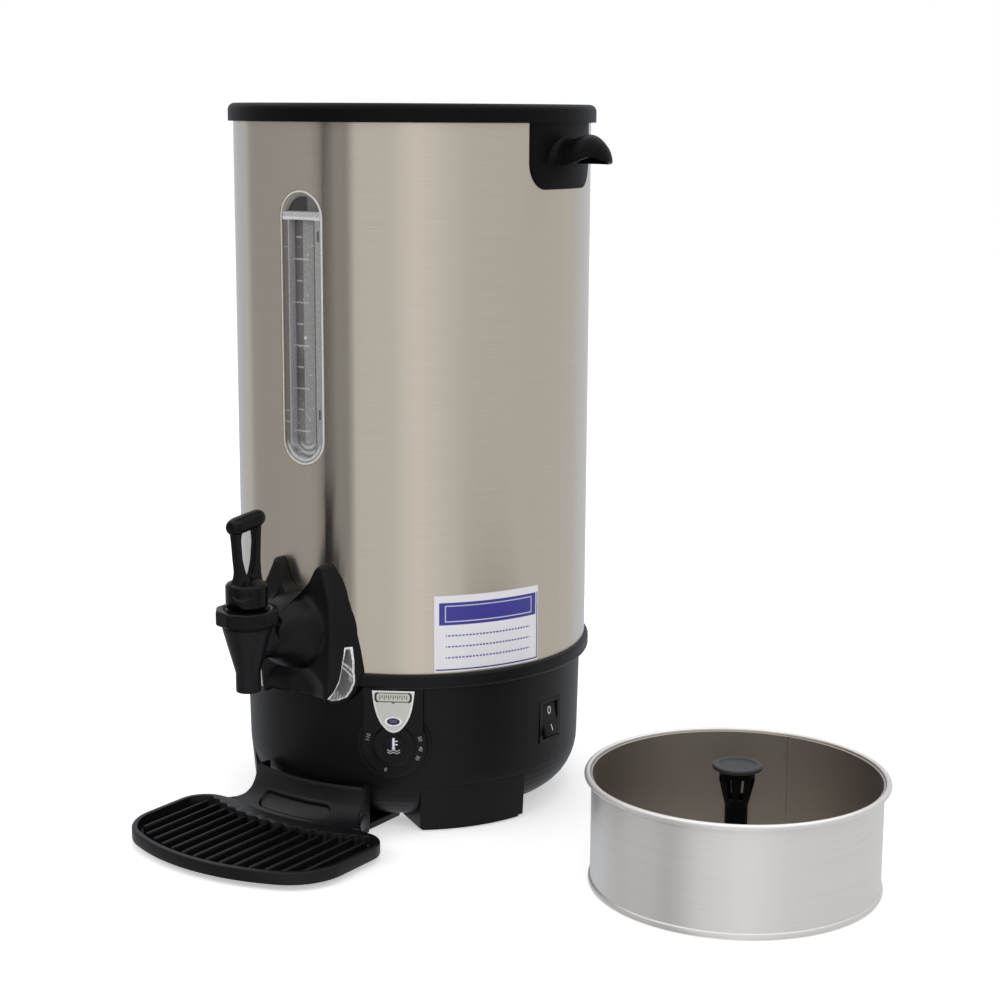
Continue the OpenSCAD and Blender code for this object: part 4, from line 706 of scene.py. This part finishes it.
# Painted light and shade: the left land darker, a dark line of shade at the channel's right wall, the
# channel's left half in painted shade, and its left wall lit.
paint = painted(np.ones(across.shape + (3,)) * ink(150),
                (ink(100, 96, 88), 1 - s_curve(across, -12.4, -11.8)),
                (ink(146, 145, 146), s_curve(across, 11.9, 12.3)),
                (ink(92), within(across, 10.7, 12.0, 0.25) * below_shelf),
                (ink(1) * channel_shade ** 2.2, channel * left_side * sunk),
                (ink(138, 138, 137), channel * (1 - left_side) * sunk),
                (ink(150, 146, 152), within(across, -12.0, -9.9, 0.2) * below_shelf),
                (mixed(ink(112), ink(196), ring_highlights), 0.85 * low_end))
for at in range(11):
    reach_left, reach_right = (-10.6, 2.4) if at % 2 else (-8.6, -3.0)
    tick = (within(high, 427.9 - 15.2 * at, 428.7 - 15.2 * at, 0.25)
            * within(across, reach_left, reach_right, 0.3))
    paint = painted(paint, (ink(182), 0.9 * tick * channel))
chance = np.random.default_rng(11)
droplets = np.stack([chance.uniform(-9, 9, 26), chance.uniform(276, 438, 26),
                     chance.uniform(0.35, 0.75, 26)], 1)
# The drops are painted as bright glints.
for at_across, at_high, size in np.concatenate([[[-1.2, 358.0, 1.5]], droplets]):
    away = np.hypot(across - at_across, high - at_high)
    paint = painted(paint, (ink(205), 0.8 * (1 - s_curve(away, size * 0.6, size))))
# Two slots painted dark as shade, with no recess cut.
for at in (429.5, 305.0):
    slot = within(across, 13.6, 15.4, 0.25) * within(high, at - 3.6, at + 3.6, 0.3)
    paint = painted(paint, (ink(82), slot))
for at in (298.0, 306.0, 421.5):
    line = within(across, -16.6, -12.4, 0.2) * within(high, at - 0.4, at + 0.4, 0.2)
    paint = painted(paint, (ink(160), 0.7 * line))
# Painted light on the shelf and a painted highlight along its lower lip. Painted shade in the hollow, darkest
# at its left, with a lit band on its left wall. A painted highlight along the raised rim.
paint = painted(paint,
                (ink(172, 170, 172), shelf),
                (ink(205), shelf * (1 - s_curve(high, 442.4, 443.0))),
                (mixed(ink(52, 49, 50), ink(104), s_curve(across, 2, 5)), hollow),
                (ink(148, 145, 136), within(from_edge, 1.7, 4.2, 0.3) * s_curve(high, 446, 447)
                 * (1 - s_curve(across, 4, 8))),
                (mixed(ink(206, 204, 190), ink(206, 204, 203), s_curve(across, -2, 2)),
                 1 - s_curve(from_edge, 1.3, 1.8)))
window_plastic = toned("window_plastic", 0.16, coat=0.5, fleck=0.16)
face = at_angle(across, np.sqrt(out ** 2 - across ** 2), high, 0)
hidden = at_angle(across, np.sqrt(window_back ** 2 - across ** 2), high, 0)
sides = joined(face, hidden, rows=())
# The back face takes the same paint at half, as painted shade.
shaped("gauge_window_moulding", [face, hidden, *sides], window_plastic, "urn", ("gauge_window",),
       sharp=60, tones=[paint, paint * 0.5] + [0.5 + 0 * wall for wall in sides])

# ---- dial ----
# Black knob with a raised centre and a flat numbered skirt. The figures, the thermometer and the waves are
# printed on it: plain numbers from 30 to 110, ten apart, and a 0.
dial_turn, dial_z, skirt_out, disc_out, figure_size, figure_r = 30.0, 68.0, 130.2, 132.2, 3.9, 19.4


def printed(name, patches, finish, body, looks):
    """Flat printed marks as one piece, from lists of points in millimetres and faces, turned to look one
    way."""
    points, faces, count = [], [], 0
    for spots, sides in patches:
        points.append(spots)
        faces += [tuple(count + corner for corner in side) for side in sides]
        count += len(spots)
    mesh = bpy.data.meshes.new(name)
    mesh.from_pydata((np.concatenate(points) / 1000).tolist(), [], faces)
    if sum(side.normal.dot(looks) * side.area for side in mesh.polygons) < 0:
        mesh.flip_normals()
    mesh.materials.append(finish)
    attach(on_set(name, mesh), body)


def figures(text, size):
    """A number as flat points and faces about its own middle."""
    curve = bpy.data.curves.new(text, "FONT")
    curve.body, curve.size, curve.resolution_u = text, size, 3
    curve.align_x = curve.align_y = "CENTER"
    holder = bpy.data.objects.new(text, curve)
    mesh = bpy.data.meshes.new_from_object(holder)
    spots = np.empty(3 * len(mesh.vertices))
    mesh.vertices.foreach_get("co", spots)
    sides = [tuple(side.vertices) for side in mesh.polygons]
    bpy.data.objects.remove(holder)
    bpy.data.curves.remove(curve)
    bpy.data.meshes.remove(mesh)
    return spots.reshape(-1, 3)[:, :2], sides


def ribbon(line, width):
    """A flat stroke along a line: its points moved half a width to each side, across the line."""
    line = np.array(line, float)
    way = np.gradient(line, axis=0)
    way /= np.linalg.norm(way, axis=1, keepdims=True)
    across = np.stack([-way[:, 1], way[:, 0]], 1) * width / 2
    count = len(line)
    sides = [(k, k + 1, count + k + 1, count + k) for k in range(count - 1)]
    return np.concatenate([line + across, line - across]), sides


dial_profile = eased([[0, disc_out], [7.6, disc_out], [8.0, disc_out - 0.35], [8.4, disc_out],
                      [14.4, disc_out], [15.2, disc_out - 0.6], [15.2, skirt_out], [23.2, skirt_out],
                      [24.0, skirt_out - 0.5], [24.0, 128.2], [0, 128.2]], 0.4, 4)
shaped("dial_knob_turned", [turned_out(dial_profile, dial_turn, dial_z)], black, "dial", ("dial_knob",),
       sharp=30)


def on_dial(flat, out):
    """Lays flat points on the dial, so far out from the urn's axis."""
    return at_angle(flat[:, 0], out, dial_z + flat[:, 1], dial_turn)


marks = []
for text, turn in (("110", -74), ("100", -50), ("90", -28), ("80", -6), ("70", 14), ("60", 34), ("50", 75),
                   ("40", 97), ("30", 118), ("0", 198)):
    spots, sides = figures(text, figure_size)
    a = np.radians(turn)
    along, far = spots[:, 0], figure_r + spots[:, 1]
    spots = np.stack([far * np.sin(a) + along * np.cos(a), far * np.cos(a) - along * np.sin(a)], 1)
    marks.append((on_dial(spots, skirt_out + 0.08), sides))
outwards = Vector((np.sin(np.radians(dial_turn)), -np.cos(np.radians(dial_turn)), 0))
print_grey = plastic("print_grey", (0.42, 0.42, 0.44), 0.5)
printed("dial_figures", marks, print_grey, "dial", outwards)
print_white = plastic("print_white", (0.86, 0.88, 0.94), 0.45)
print_blue = plastic("print_blue", (0.01, 0.02, 0.12), 0.45)
t = np.linspace(0, 2 * np.pi, 21)
bulb = (np.stack([1.2 * np.sin(t), -1.8 + 1.2 * np.cos(t)], 1), [tuple(range(21))])
thermometer = [ribbon([[0, 5.8], [0, 2], [0, -1.8]], 1.7), bulb,
               ribbon([[1.2, 3.4], [2.9, 3.4]], 0.9), ribbon([[1.2, 0.9], [2.9, 0.9]], 0.9)]
t = np.linspace(-4.6, 4.6, 31)
waves = [ribbon(np.stack([t, 0.42 * np.cos(t * 1.37) + down], 1), 0.75) for down in (-3.6, -5.3)]
for name, strokes, finish in (
        ("dial_thermometer", thermometer, print_white),
        ("dial_thermometer_shade", [ribbon([[-1.5, 5.0], [-1.5, 2], [-1.5, -1.2]], 0.7)], print_blue),
        ("dial_waves", waves, print_grey)):
    printed(name, [(on_dial(spots, disc_out + 0.1), sides) for spots, sides in strokes], finish, "dial",
            outwards)

# ---- control plate ----
# Bright plate above the dial with a bevelled edge, painted near white as a highlight. It carries a black
# frame of plain ticks, a green pointer and a dark oval with a painted glint on it.
plate_out, plate_back, tip_z, tall, half = 133.4, 132.6, 78.0, 31.0, 15.3
u = np.linspace(0, 1, 400)
rise = 0.62 * u ** 2 + 0.38 * u ** 10
level = np.linspace(0, 1, 150)[:, None] ** 2
reach = half * np.interp(level, rise, u)
across = reach * np.linspace(-1, 1, 145)
high = tip_z + tall * level + 0 * across
sideways = np.clip(reach - np.abs(across), 0, None)
upwards = np.clip(high - tip_z - tall * np.interp(np.abs(across) / half, u, rise), 0, None)
from_edge = np.minimum(sideways * upwards / (np.hypot(sideways, upwards) + 1e-6), tip_z + tall - high)
out = plate_out - 0.45 * (1 - s_curve(from_edge, 0, 0.9))
frame_off = np.hypot(np.clip(np.abs(across) - 10.6, 0, None),
                     np.clip(np.abs(high - 104.3) - 1.1, 0, None)) - 2.1
heavy = 0.32 + 0.5 * s_curve(np.abs(across), 10.4, 11.6)
tick_at = np.abs((across + 0.8) % 1.6 - 0.8)
tick_low = np.where(np.round((across + 0.8) // 1.6) % 2 == 0, 102.6, 103.6)
oval = np.hypot(across / 4.7, (high - 86.4) / 2.6)
glint = np.abs(np.hypot((np.abs(across) - 1.3) / 1.25, (high - 86.6) / 1.2) - 0.8)
paint = painted(np.ones(across.shape + (3,)) * ink(205, 204, 198),
                # Painted highlight: the bevelled edge is near white.
                (ink(245), 1 - s_curve(from_edge, 0.9, 1.5)),
                (ink(26), 1 - s_curve(np.abs(frame_off), heavy - 0.15, heavy + 0.15)),
                (ink(70, 62, 58), (1 - s_curve(tick_at, 0.2, 0.42)) * (np.abs(across) < 9.9)
                 * within(high, tick_low, 106.0, 0.2)),
                (ink(52, 128, 88), (high < 101.0) * s_curve(high - 99.0 - 1.05 * np.abs(across), 0, 0.3)),
                (ink(250), 1 - s_curve(oval, 1.25, 1.4)),
                (ink(16, 13, 66), 1 - s_curve(oval, 0.95, 1.05)),
                (ink(120, 118, 170), 0.8 * (1 - s_curve(glint, 0.1, 0.3)) * (np.abs(across) < 2.9)))
plate_finish = toned("plate_satin", 0.34, coat=0.2, grain=1400.0, fleck=0.06)
face = at_angle(across, out, high, dial_turn)
under = at_angle(across, plate_back, high, dial_turn)
sides = joined(face, under, rows=()) + joined(face, under, rows=(-1,), columns=())
shaped("control_plate_printed", [face, under, *sides], plate_finish, "urn", ("control_plate",),
       sharp=60, tones=[paint, paint] + [0.7 + 0 * wall for wall in sides])

# ---- power switch ----
# Black moulded rocker that tips in a bezel in the base's side. Its two faces meet in a shallow valley and
# are printed with a ring and a bar.
switch_turn, switch_z, axis_out = 89.0, 70.0, 123.8
lean = np.radians(12)


def in_switch(a, b, width):
    """Outward and upward distances from the rocker's axis, leaned, and its width, set into the base."""
    return at_angle(width, axis_out + a * np.cos(lean) - b * np.sin(lean),
                    switch_z + a * np.sin(lean) + b * np.cos(lean), switch_turn)


def rocker_line(inset):
    """Side view of the rocker, with its outer corners rounded, shrunk towards its middle."""
    line = eased([[-5, 0], [-5, 11.6], [4.9, 12.0], [3.2, 0], [4.9, -12.0], [-5, -11.6], [-5, 0]],
                 [0.5, 1.6, 3, 1.6, 0.5], 7)
    return line * (1 - inset / 9)


rocker = walled(rocker_line, [(0.9, -9.3), (0.25, -9.1), (0, -8.5), (0, 8.5), (0.25, 9.1), (0.9, 9.3)],
                (0, 0), in_switch)
shaped("switch_rocker_moulding", [rocker], black, "power_switch", ("switch_rocker",),
       sharp=40)
t = np.linspace(0, 2 * np.pi, 33)
ring = (np.concatenate([np.stack([2.1 * np.cos(t), 6.6 + 2.9 * np.sin(t)], 1),
                        np.stack([1.45 * np.cos(t), 6.6 + 2.2 * np.sin(t)], 1)]),
        [(k, k + 1, 34 + k, 33 + k) for k in range(32)])
bar = ribbon([[0, -9.0], [0, -6.6], [0, -4.4]], 0.8)
marks = [(in_switch(3.3 + 0.142 * np.abs(spots[:, 1]), spots[:, 1], spots[:, 0]), sides)
         for spots, sides in (ring, bar)]
printed("switch_marks", marks, print_white, "power_switch", Vector((1, 0, 0)))

# ---- care label ----
# Film label stuck on the jacket, with a plain blue banner, a blue edge at the right and the foot, and ruled
# lines. It bears no words.
label_turn, label_low, label_tall, label_wide = 61.0, 122.2, 56.0, 84.5
along, up = np.meshgrid(np.linspace(-0.5, 0.5, 251) * label_wide, np.linspace(0, label_tall, 167))
paint = painted(np.ones(along.shape + (3,)) * ink(236, 236, 241),
                (ink(46, 42, 146), within(along, -38.8, 39.6, 0.2) * within(up, 34.4, 50.8, 0.2)),
                (ink(226, 226, 240), within(along, -34.5, 35.5, 0.2) * within(up, 36.6, 48.6, 0.2)
                 - within(along, -33.9, 34.9, 0.2) * within(up, 37.2, 48.0, 0.2)),
                (ink(38, 30, 118), within(along, 40.6, 41.6, 0.15) * within(up, 1.2, 51.0, 0.2)),
                (ink(38, 30, 118), within(along, -41.0, 41.6, 0.15) * within(up, 1.2, 2.2, 0.15)))
dashes = 0.5 + 0.5 * np.tanh(9 * (np.cos(along * 2.4) + 0.55))
for line_up in (10.0, 18.0, 26.0):
    rule = within(along, -34, 34, 0.2) * within(up, line_up, line_up + 1.1, 0.2)
    paint = painted(paint, (ink(64, 58, 158), dashes * rule))
film = toned("label_film", 0.22, coat=0.5, fleck=0.02)


def on_jacket(along, lift, up):
    """Wraps flat label points round the jacket: along it becomes an angle, along over the radius."""
    turn = np.radians(label_turn) + along / jacket_r
    return np.stack([(jacket_r + lift) * np.sin(turn), -(jacket_r + lift) * np.cos(turn), label_low + up], -1)


corner = np.clip(np.abs(along) - label_wide / 2 + 1.5, 0, None)
face, under = on_jacket(along, 0.38 - 0.06 * corner, up), on_jacket(along, 0.12, up)
sides = joined(face, under)
shaped("care_label_film", [face, under, *sides], film, "urn", ("care_label",), sharp=60,
       tones=[paint, paint] + [0.8 + 0 * wall for wall in sides])

# ---- basket cap ----
# Black moulded cap on top of the basket's column, a little paler than the column. It has a raised round rim
# and a shallow dish inside it.
basket_x, basket_y = 309.4, -52.3
cap_black = plastic("cap_satin", (0.018, 0.0175, 0.019), 0.38, gloss=0.32)
cap_profile = eased([[0, 83.3], [11.5, 83.3], [13.2, 84.3], [15.8, 84.4], [17.0, 83.5], [17.0, 81.9],
                     [16.2, 81.2], [0, 81.2]], 0.7, 6)
around = np.linspace(0, 2 * np.pi, 97)
cap = revolved(cap_profile[:, :1], cap_profile[:, 1:], around, basket_x, basket_y)
dress(plastic("column_satin", (0.0022, 0.0020, 0.0024), 0.45, gloss=0.10), "basket_column")
shaped("column_cap_turned", [cap], cap_black, "filter_basket", ("column_cap",), sharp=30)

# ---- basket seam ----
# The basket's wall is a strip of sheet closed by one upright weld, ground almost flat, with its foot rolled
# over a bead. The steel is satin outside, and inside it is painted a darker, less metallic brown as shade.
seam_turn, seam_half, shell_out = np.radians(95), 0.0135, 97.65
t = np.linspace(-1, 1, 9)
seam_z = np.linspace(3, 76.2, 60)[:, None]
seam_out = shell_out - 0.32 * (1 - t[None, :] ** 2) - 0.05 * np.sin(seam_z * 3.1)
seam = revolved(seam_out, seam_z, seam_turn + t * seam_half, basket_x, basket_y)
# The painted shade covers all that lies nearer to the basket's axis than its outer face, which the rim rolls
# out by 1.3 mm.
basket_steel = brushed_steel("basket_steel", (0.79, 0.775, 0.755), 0.36, lines=420.0, spread=0.12,
                             stretch=0.3)
tree = basket_steel.node_tree
skin = tree.nodes["Principled BSDF"]
bare = skin.inputs["Base Color"].links[0].from_socket
place = added(tree, "TexCoord")["Object"]
level = added(tree, "VectorMath", {0: place, 1: (1, 1, 0)}, operation="MULTIPLY")[0]
axis = (basket_x / 1000, basket_y / 1000, 0)
away = added(tree, "VectorMath", {0: level, 1: axis}, operation="DISTANCE")["Value"]
rim = added(tree, "MapRange", {"From Min": 0.0750, "From Max": 0.0758, "To Max": 0.0013,
                               "Value": added(tree, "SeparateXYZ", {0: place})["Z"]})[0]
outside = added(tree, "MapRange", {"From Min": 0.0979, "From Max": 0.0982,
                                   "Value": worked(tree, "SUBTRACT", away, rim)})[0]
# Painted shade inside the basket: a darker brown, with less metal in it.
shaded_inside = added(tree, "Mix", {"A": (0.475, 0.440, 0.405, 1), "B": bare, "Factor": outside}, data_type="RGBA")
feed(skin, {"Base Color": shaded_inside["Result"], "Metallic": worked(tree, "MULTIPLY_ADD", outside, -0.30, 1.0)})
shaped("basket_seam_weld", [seam], basket_steel, "filter_basket",
       looks=(-np.cos(seam_turn), -np.sin(seam_turn), 0))
dress(basket_steel, "basket_shell", "basket_floor")
bead_out, bead_z, bead_wide, bead_tall = 98.6, 2.7, 1.25, 2.3
turn = np.radians(np.linspace(0, 360, 25))[:, None]
bead = revolved(bead_out + bead_wide * np.cos(turn), bead_z + bead_tall * np.sin(turn), around, basket_x,
                basket_y)
shaped("basket_foot_bead", [bead], basket_steel, "filter_basket", sharp=40)

# ---- inner parts and pads ----
# The parts inside the base, the jacket and the tap, and the pads under the feet, each get the metal, the
# rubber or the plastic they are made of.
for name, shade, roughness, lines, stretch, dressed in (
        ("zinc_sheet", (0.50, 0.51, 0.52), 0.46, 90.0, 0.2, ("base_cover", "thermostat", "thermal_cutout")),
        ("screw_steel", (0.60, 0.60, 0.61), 0.30, 1500.0, 0.3, ("base_screws", "handle_screws",
                                                                "lid_knob_screw", "lever_pin",
                                                                "valve_spring", "valve_stem",
                                                                "gauge_nuts")),
        ("brass", (0.78, 0.57, 0.27), 0.32, 900.0, 0.3, ("dial_shaft", "shank_nut")),
        ("copper", (0.80, 0.42, 0.28), 0.34, 900.0, 0.3, ("thermostat_bulb",)),
        ("heater_sheath", (0.34, 0.33, 0.31), 0.48, 260.0, 0.3, ("heating_element",))):
    dress(brushed_steel(name, shade, roughness, lines=lines, stretch=stretch), *dressed)
for name, shade, roughness, grain, height, dressed in (
        ("silicone", (0.60, 0.59, 0.56), 0.55, 700.0, 0.00003, ("gauge_gasket", "seat_cup", "shank_washer")),
        ("rubber", (0.012, 0.012, 0.012), 0.78, 1100.0, 0.00006, ("anti_slip_pads",)),
        ("pale_plastic", (0.70, 0.68, 0.62), 0.45, 2200.0, 0.00003, ("terminal_block",)),
        ("lamp_amber", (0.72, 0.22, 0.03), 0.30, 2200.0, 0.00003, ("indicator_lamps",)),
        ("lead_insulation", (0.46, 0.05, 0.04), 0.42, 2200.0, 0.00003, ("wiring_loom",))):
    dress(plastic(name, shade, roughness, grain, height), *dressed)

# ---- drip tray ----
# Black moulded tray: a pan with upright ribs inside a bowed rim, and a thin neck that sweeps up to the urn
# with a finger recess in it. Its side webs stand on a sill, and a tongue slides in under the urn.
tray_half, tray_front, bow, tray_corner, shoulder, tray_back = 90.0, 256.8, 160.0, 42.5, 21.0, 148.0
rim_z, pan_z, pocket, rib_pitch, rib_half, rib_gap = 13.3, 6.2, 170.0, 11.4, 1.3, 8.5
corner_x = tray_half - tray_corner
bow_turn = np.arcsin(corner_x / (bow - tray_corner))
bow_y = bow - tray_front
corner_y = bow_y - (bow - tray_corner) * np.cos(bow_turn)
shoulder_y = -tray_back - shoulder
tray_black = plastic("tray_satin", (0.0052, 0.0050, 0.0062), 0.36, gloss=0.26)


def bend(x, y, radius, start, stop, count):
    """Points of an arc about (x, y) between two angles, without its last point."""
    t = np.linspace(start, stop, count + 1)[:-1]
    return np.stack([x + radius * np.cos(t), y + radius * np.sin(t)], 1)


def tray_line(inset):
    """Plan of the tray: a bow in front, round corners, and shoulders at the back."""
    right = np.concatenate([
        bend(0, bow_y, bow - inset, -np.pi / 2, bow_turn - np.pi / 2, 16),
        bend(corner_x, corner_y, tray_corner - inset, bow_turn - np.pi / 2, 0, 24),
        bend(tray_half - shoulder, shoulder_y, shoulder - inset, 0, np.pi / 2, 16),
        np.stack([np.linspace(tray_half - shoulder, 0, 110), np.full(110, -tray_back - inset)], 1)])
    return mirrored(right)


def pan_line(inset):
    """Plan of the pan: the tray's outline 4 mm in, kept clear of the urn by a circle whose edge waves between
    the ribs by the cosine of the distance across."""
    line = tray_line(4.0 + inset)
    far = np.hypot(line[:, 0], line[:, 1])
    keep = pocket + inset + 1.2 * np.cos(2 * np.pi * line[:, 0] / rib_pitch) * (np.abs(line[:, 0]) < 76)
    return line * (np.maximum(far, keep) / far)[:, None]


def upright(a, b, height):
    """Leaves plan points where they are."""
    return np.stack([a, b, height], -1)


# The pan's rings run from the middle of its underside over the rim to the middle of its floor.
middle = np.array([0, -205.0])
plans = [(middle + (tray_line(1.2) - middle) * share, 4.0) for share in (0.0, 0.33, 0.66, 1.0)]
plans += [(tray_line(inset), height) for inset, height in ((0.3, 4.4), (0, 5.2), (0, 12.1), (0.2, 12.8),
                                                           (0.6, 13.2), (1.1, rim_z))]
plans += [(tray_line(1.1) * (1 - share) + pan_line(-0.5) * share, rim_z) for share in (0.33, 0.66, 1.0)]
plans += [(pan_line(inset), height) for inset, height in ((-0.1, 13.1), (0.1, 12.6), (0.5, 7.2), (0.9, 6.5),
                                                          (1.8, pan_z))]
plans += [(middle + (pan_line(1.8) - middle) * share, pan_z) for share in (0.66, 0.33, 0.0)]
pan = np.stack([level_ring(*plan) for plan in plans])

ribs = []
for place in (np.arange(14) - 6.5) * rib_pitch:
    side = abs(place)
    front = (bow_y - np.sqrt((bow - rib_gap) ** 2 - side ** 2) if side < (bow - rib_gap) * np.sin(bow_turn)
             else corner_y - np.sqrt((tray_corner - rib_gap) ** 2 - (side - corner_x) ** 2))
    back = min(-np.sqrt(pocket ** 2 - side ** 2) + 0.8,
               shoulder_y + np.sqrt((shoulder - rib_gap) ** 2 - max(side - tray_half + shoulder, 0) ** 2))

    def rib_line(inset):
        """Plan of one rib: two straight sides and two half-round ends."""
        near, far, half = front + rib_half, back - rib_half, rib_half - inset
        return np.concatenate([bend(place, near, half, np.pi, 2 * np.pi, 8),
                               bend(place, far, half, 0, np.pi, 8),
                               [[place - half, far], [place - half, near]]])

    ribs.append(walled(rib_line, [(0, 5.4), (0, 10.4), (0.15, 10.95), (0.5, 11.35), (0.95, 11.5)],
                       (place, (front + back) / 2), upright))
shaped("drip_tray_pan", [pan, *ribs], tray_black, "drip_tray", ("drip_tray",), sharp=40)

# The neck is a quarter of a round sweep. Its recess is a slot with round ends, measured along the sweep.
sweep, sweep_out, sweep_z, neck_thick = 24.4, 162.9, 37.2, 2.6
recess_r, recess_half, recess_off, recess_along = 7.3, 25.2, 1.5, 22.5
phi = np.radians(np.linspace(0, 90, 76))[:, None]
share = np.linspace(-1, 1, 141)[None, :]
edge_half = np.interp(sweep_out - sweep * np.cos(phi), [138.5, 141, 145, 150, 155, 159, 162.9],
                      [50.4, 50.2, 50.4, 52.4, 57.0, 61.5, 65.0])
skins = []
for deep in (0.0, 1.0):
    across = edge_half * share
    recess = recess_r - np.hypot(np.clip(np.abs(across + recess_off) - recess_half, 0, None),
                                 sweep * phi - recess_along)
    lip = np.exp(-((recess + 0.9) / 0.9) ** 2)
    groove = within(np.degrees(phi), 79, 86, 1.5) * (np.abs(across) < 60)
    far = sweep + (1 - deep) * (1.9 * s_curve(recess, 0, 1.5) - 0.25 * lip + 0.9 * groove) + neck_thick * deep
    far = far + 1.1 * np.exp(-(np.degrees(phi) / 3.0) ** 2) * (1 - 2 * deep)
    around = np.maximum(sweep_out - far * np.cos(phi), np.abs(across) + 1)
    skins.append(np.stack([across, -np.sqrt(around ** 2 - across ** 2), sweep_z - far * np.sin(phi)], -1))
skin, under = skins
shaped("drip_tray_neck", [skin, under, *joined(skin, under)], tray_black, "drip_tray", sharp=40)

# Each web starts under the neck's edge, curves in to the sill's side and ends behind it.
sill_half, web_back, web_thick = 48, -119.5, 2.4
drop = np.concatenate([sweep_z - sweep * np.sin(phi), [[9.0], [5.0]]])
front_x = np.concatenate([edge_half, [[65], [65]]])
front_out = np.concatenate([sweep_out - sweep * np.cos(phi), [[sweep_out], [sweep_out]]])
front_y = -np.sqrt(front_out ** 2 - front_x ** 2)
t = np.linspace(0, 1, 17)
web_x = sill_half + (front_x - sill_half) * (1 - t) ** 2.2
web_y = front_y + (web_back - front_y) * t
for name, hand in (("right", 1), ("left", -1)):
    faces = [np.stack([hand * (web_x - inset), web_y, drop + 0 * t], -1) for inset in (0.0, web_thick)]
    shaped("drip_tray_web_" + name, [*faces, *joined(*faces)], tray_black, "drip_tray", sharp=40)


def slab_line(half, near, far):
    """Plan of a slab with round corners, as a function of an inset."""
    def line(inset):
        """The slab's outline, that far in."""
        w, low, high = half - inset, -near + inset, -far - inset
        return np.concatenate([bend(w - 2, low + 2, 2, -np.pi / 2, 0, 6),
                               bend(w - 2, high - 2, 2, 0, np.pi / 2, 6),
                               bend(2 - w, high - 2, 2, np.pi / 2, np.pi, 6),
                               bend(2 - w, low + 2, 2, np.pi, 1.5 * np.pi, 6), [[w - 2, low]]])
    return line


for name, half, near, far in (("drip_tray_sill", sill_half, 159, 119), ("drip_tray_tongue", 45, 158.5, 78)):
    slab = walled(slab_line(half, near, far), [(0.5, 0.4), (0, 0.9), (0, 4.9), (0.5, 5.4)],
                  (0, -(near + far) / 2), upright)
    shaped(name, [slab], tray_black, "drip_tray", sharp=40)

low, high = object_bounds()
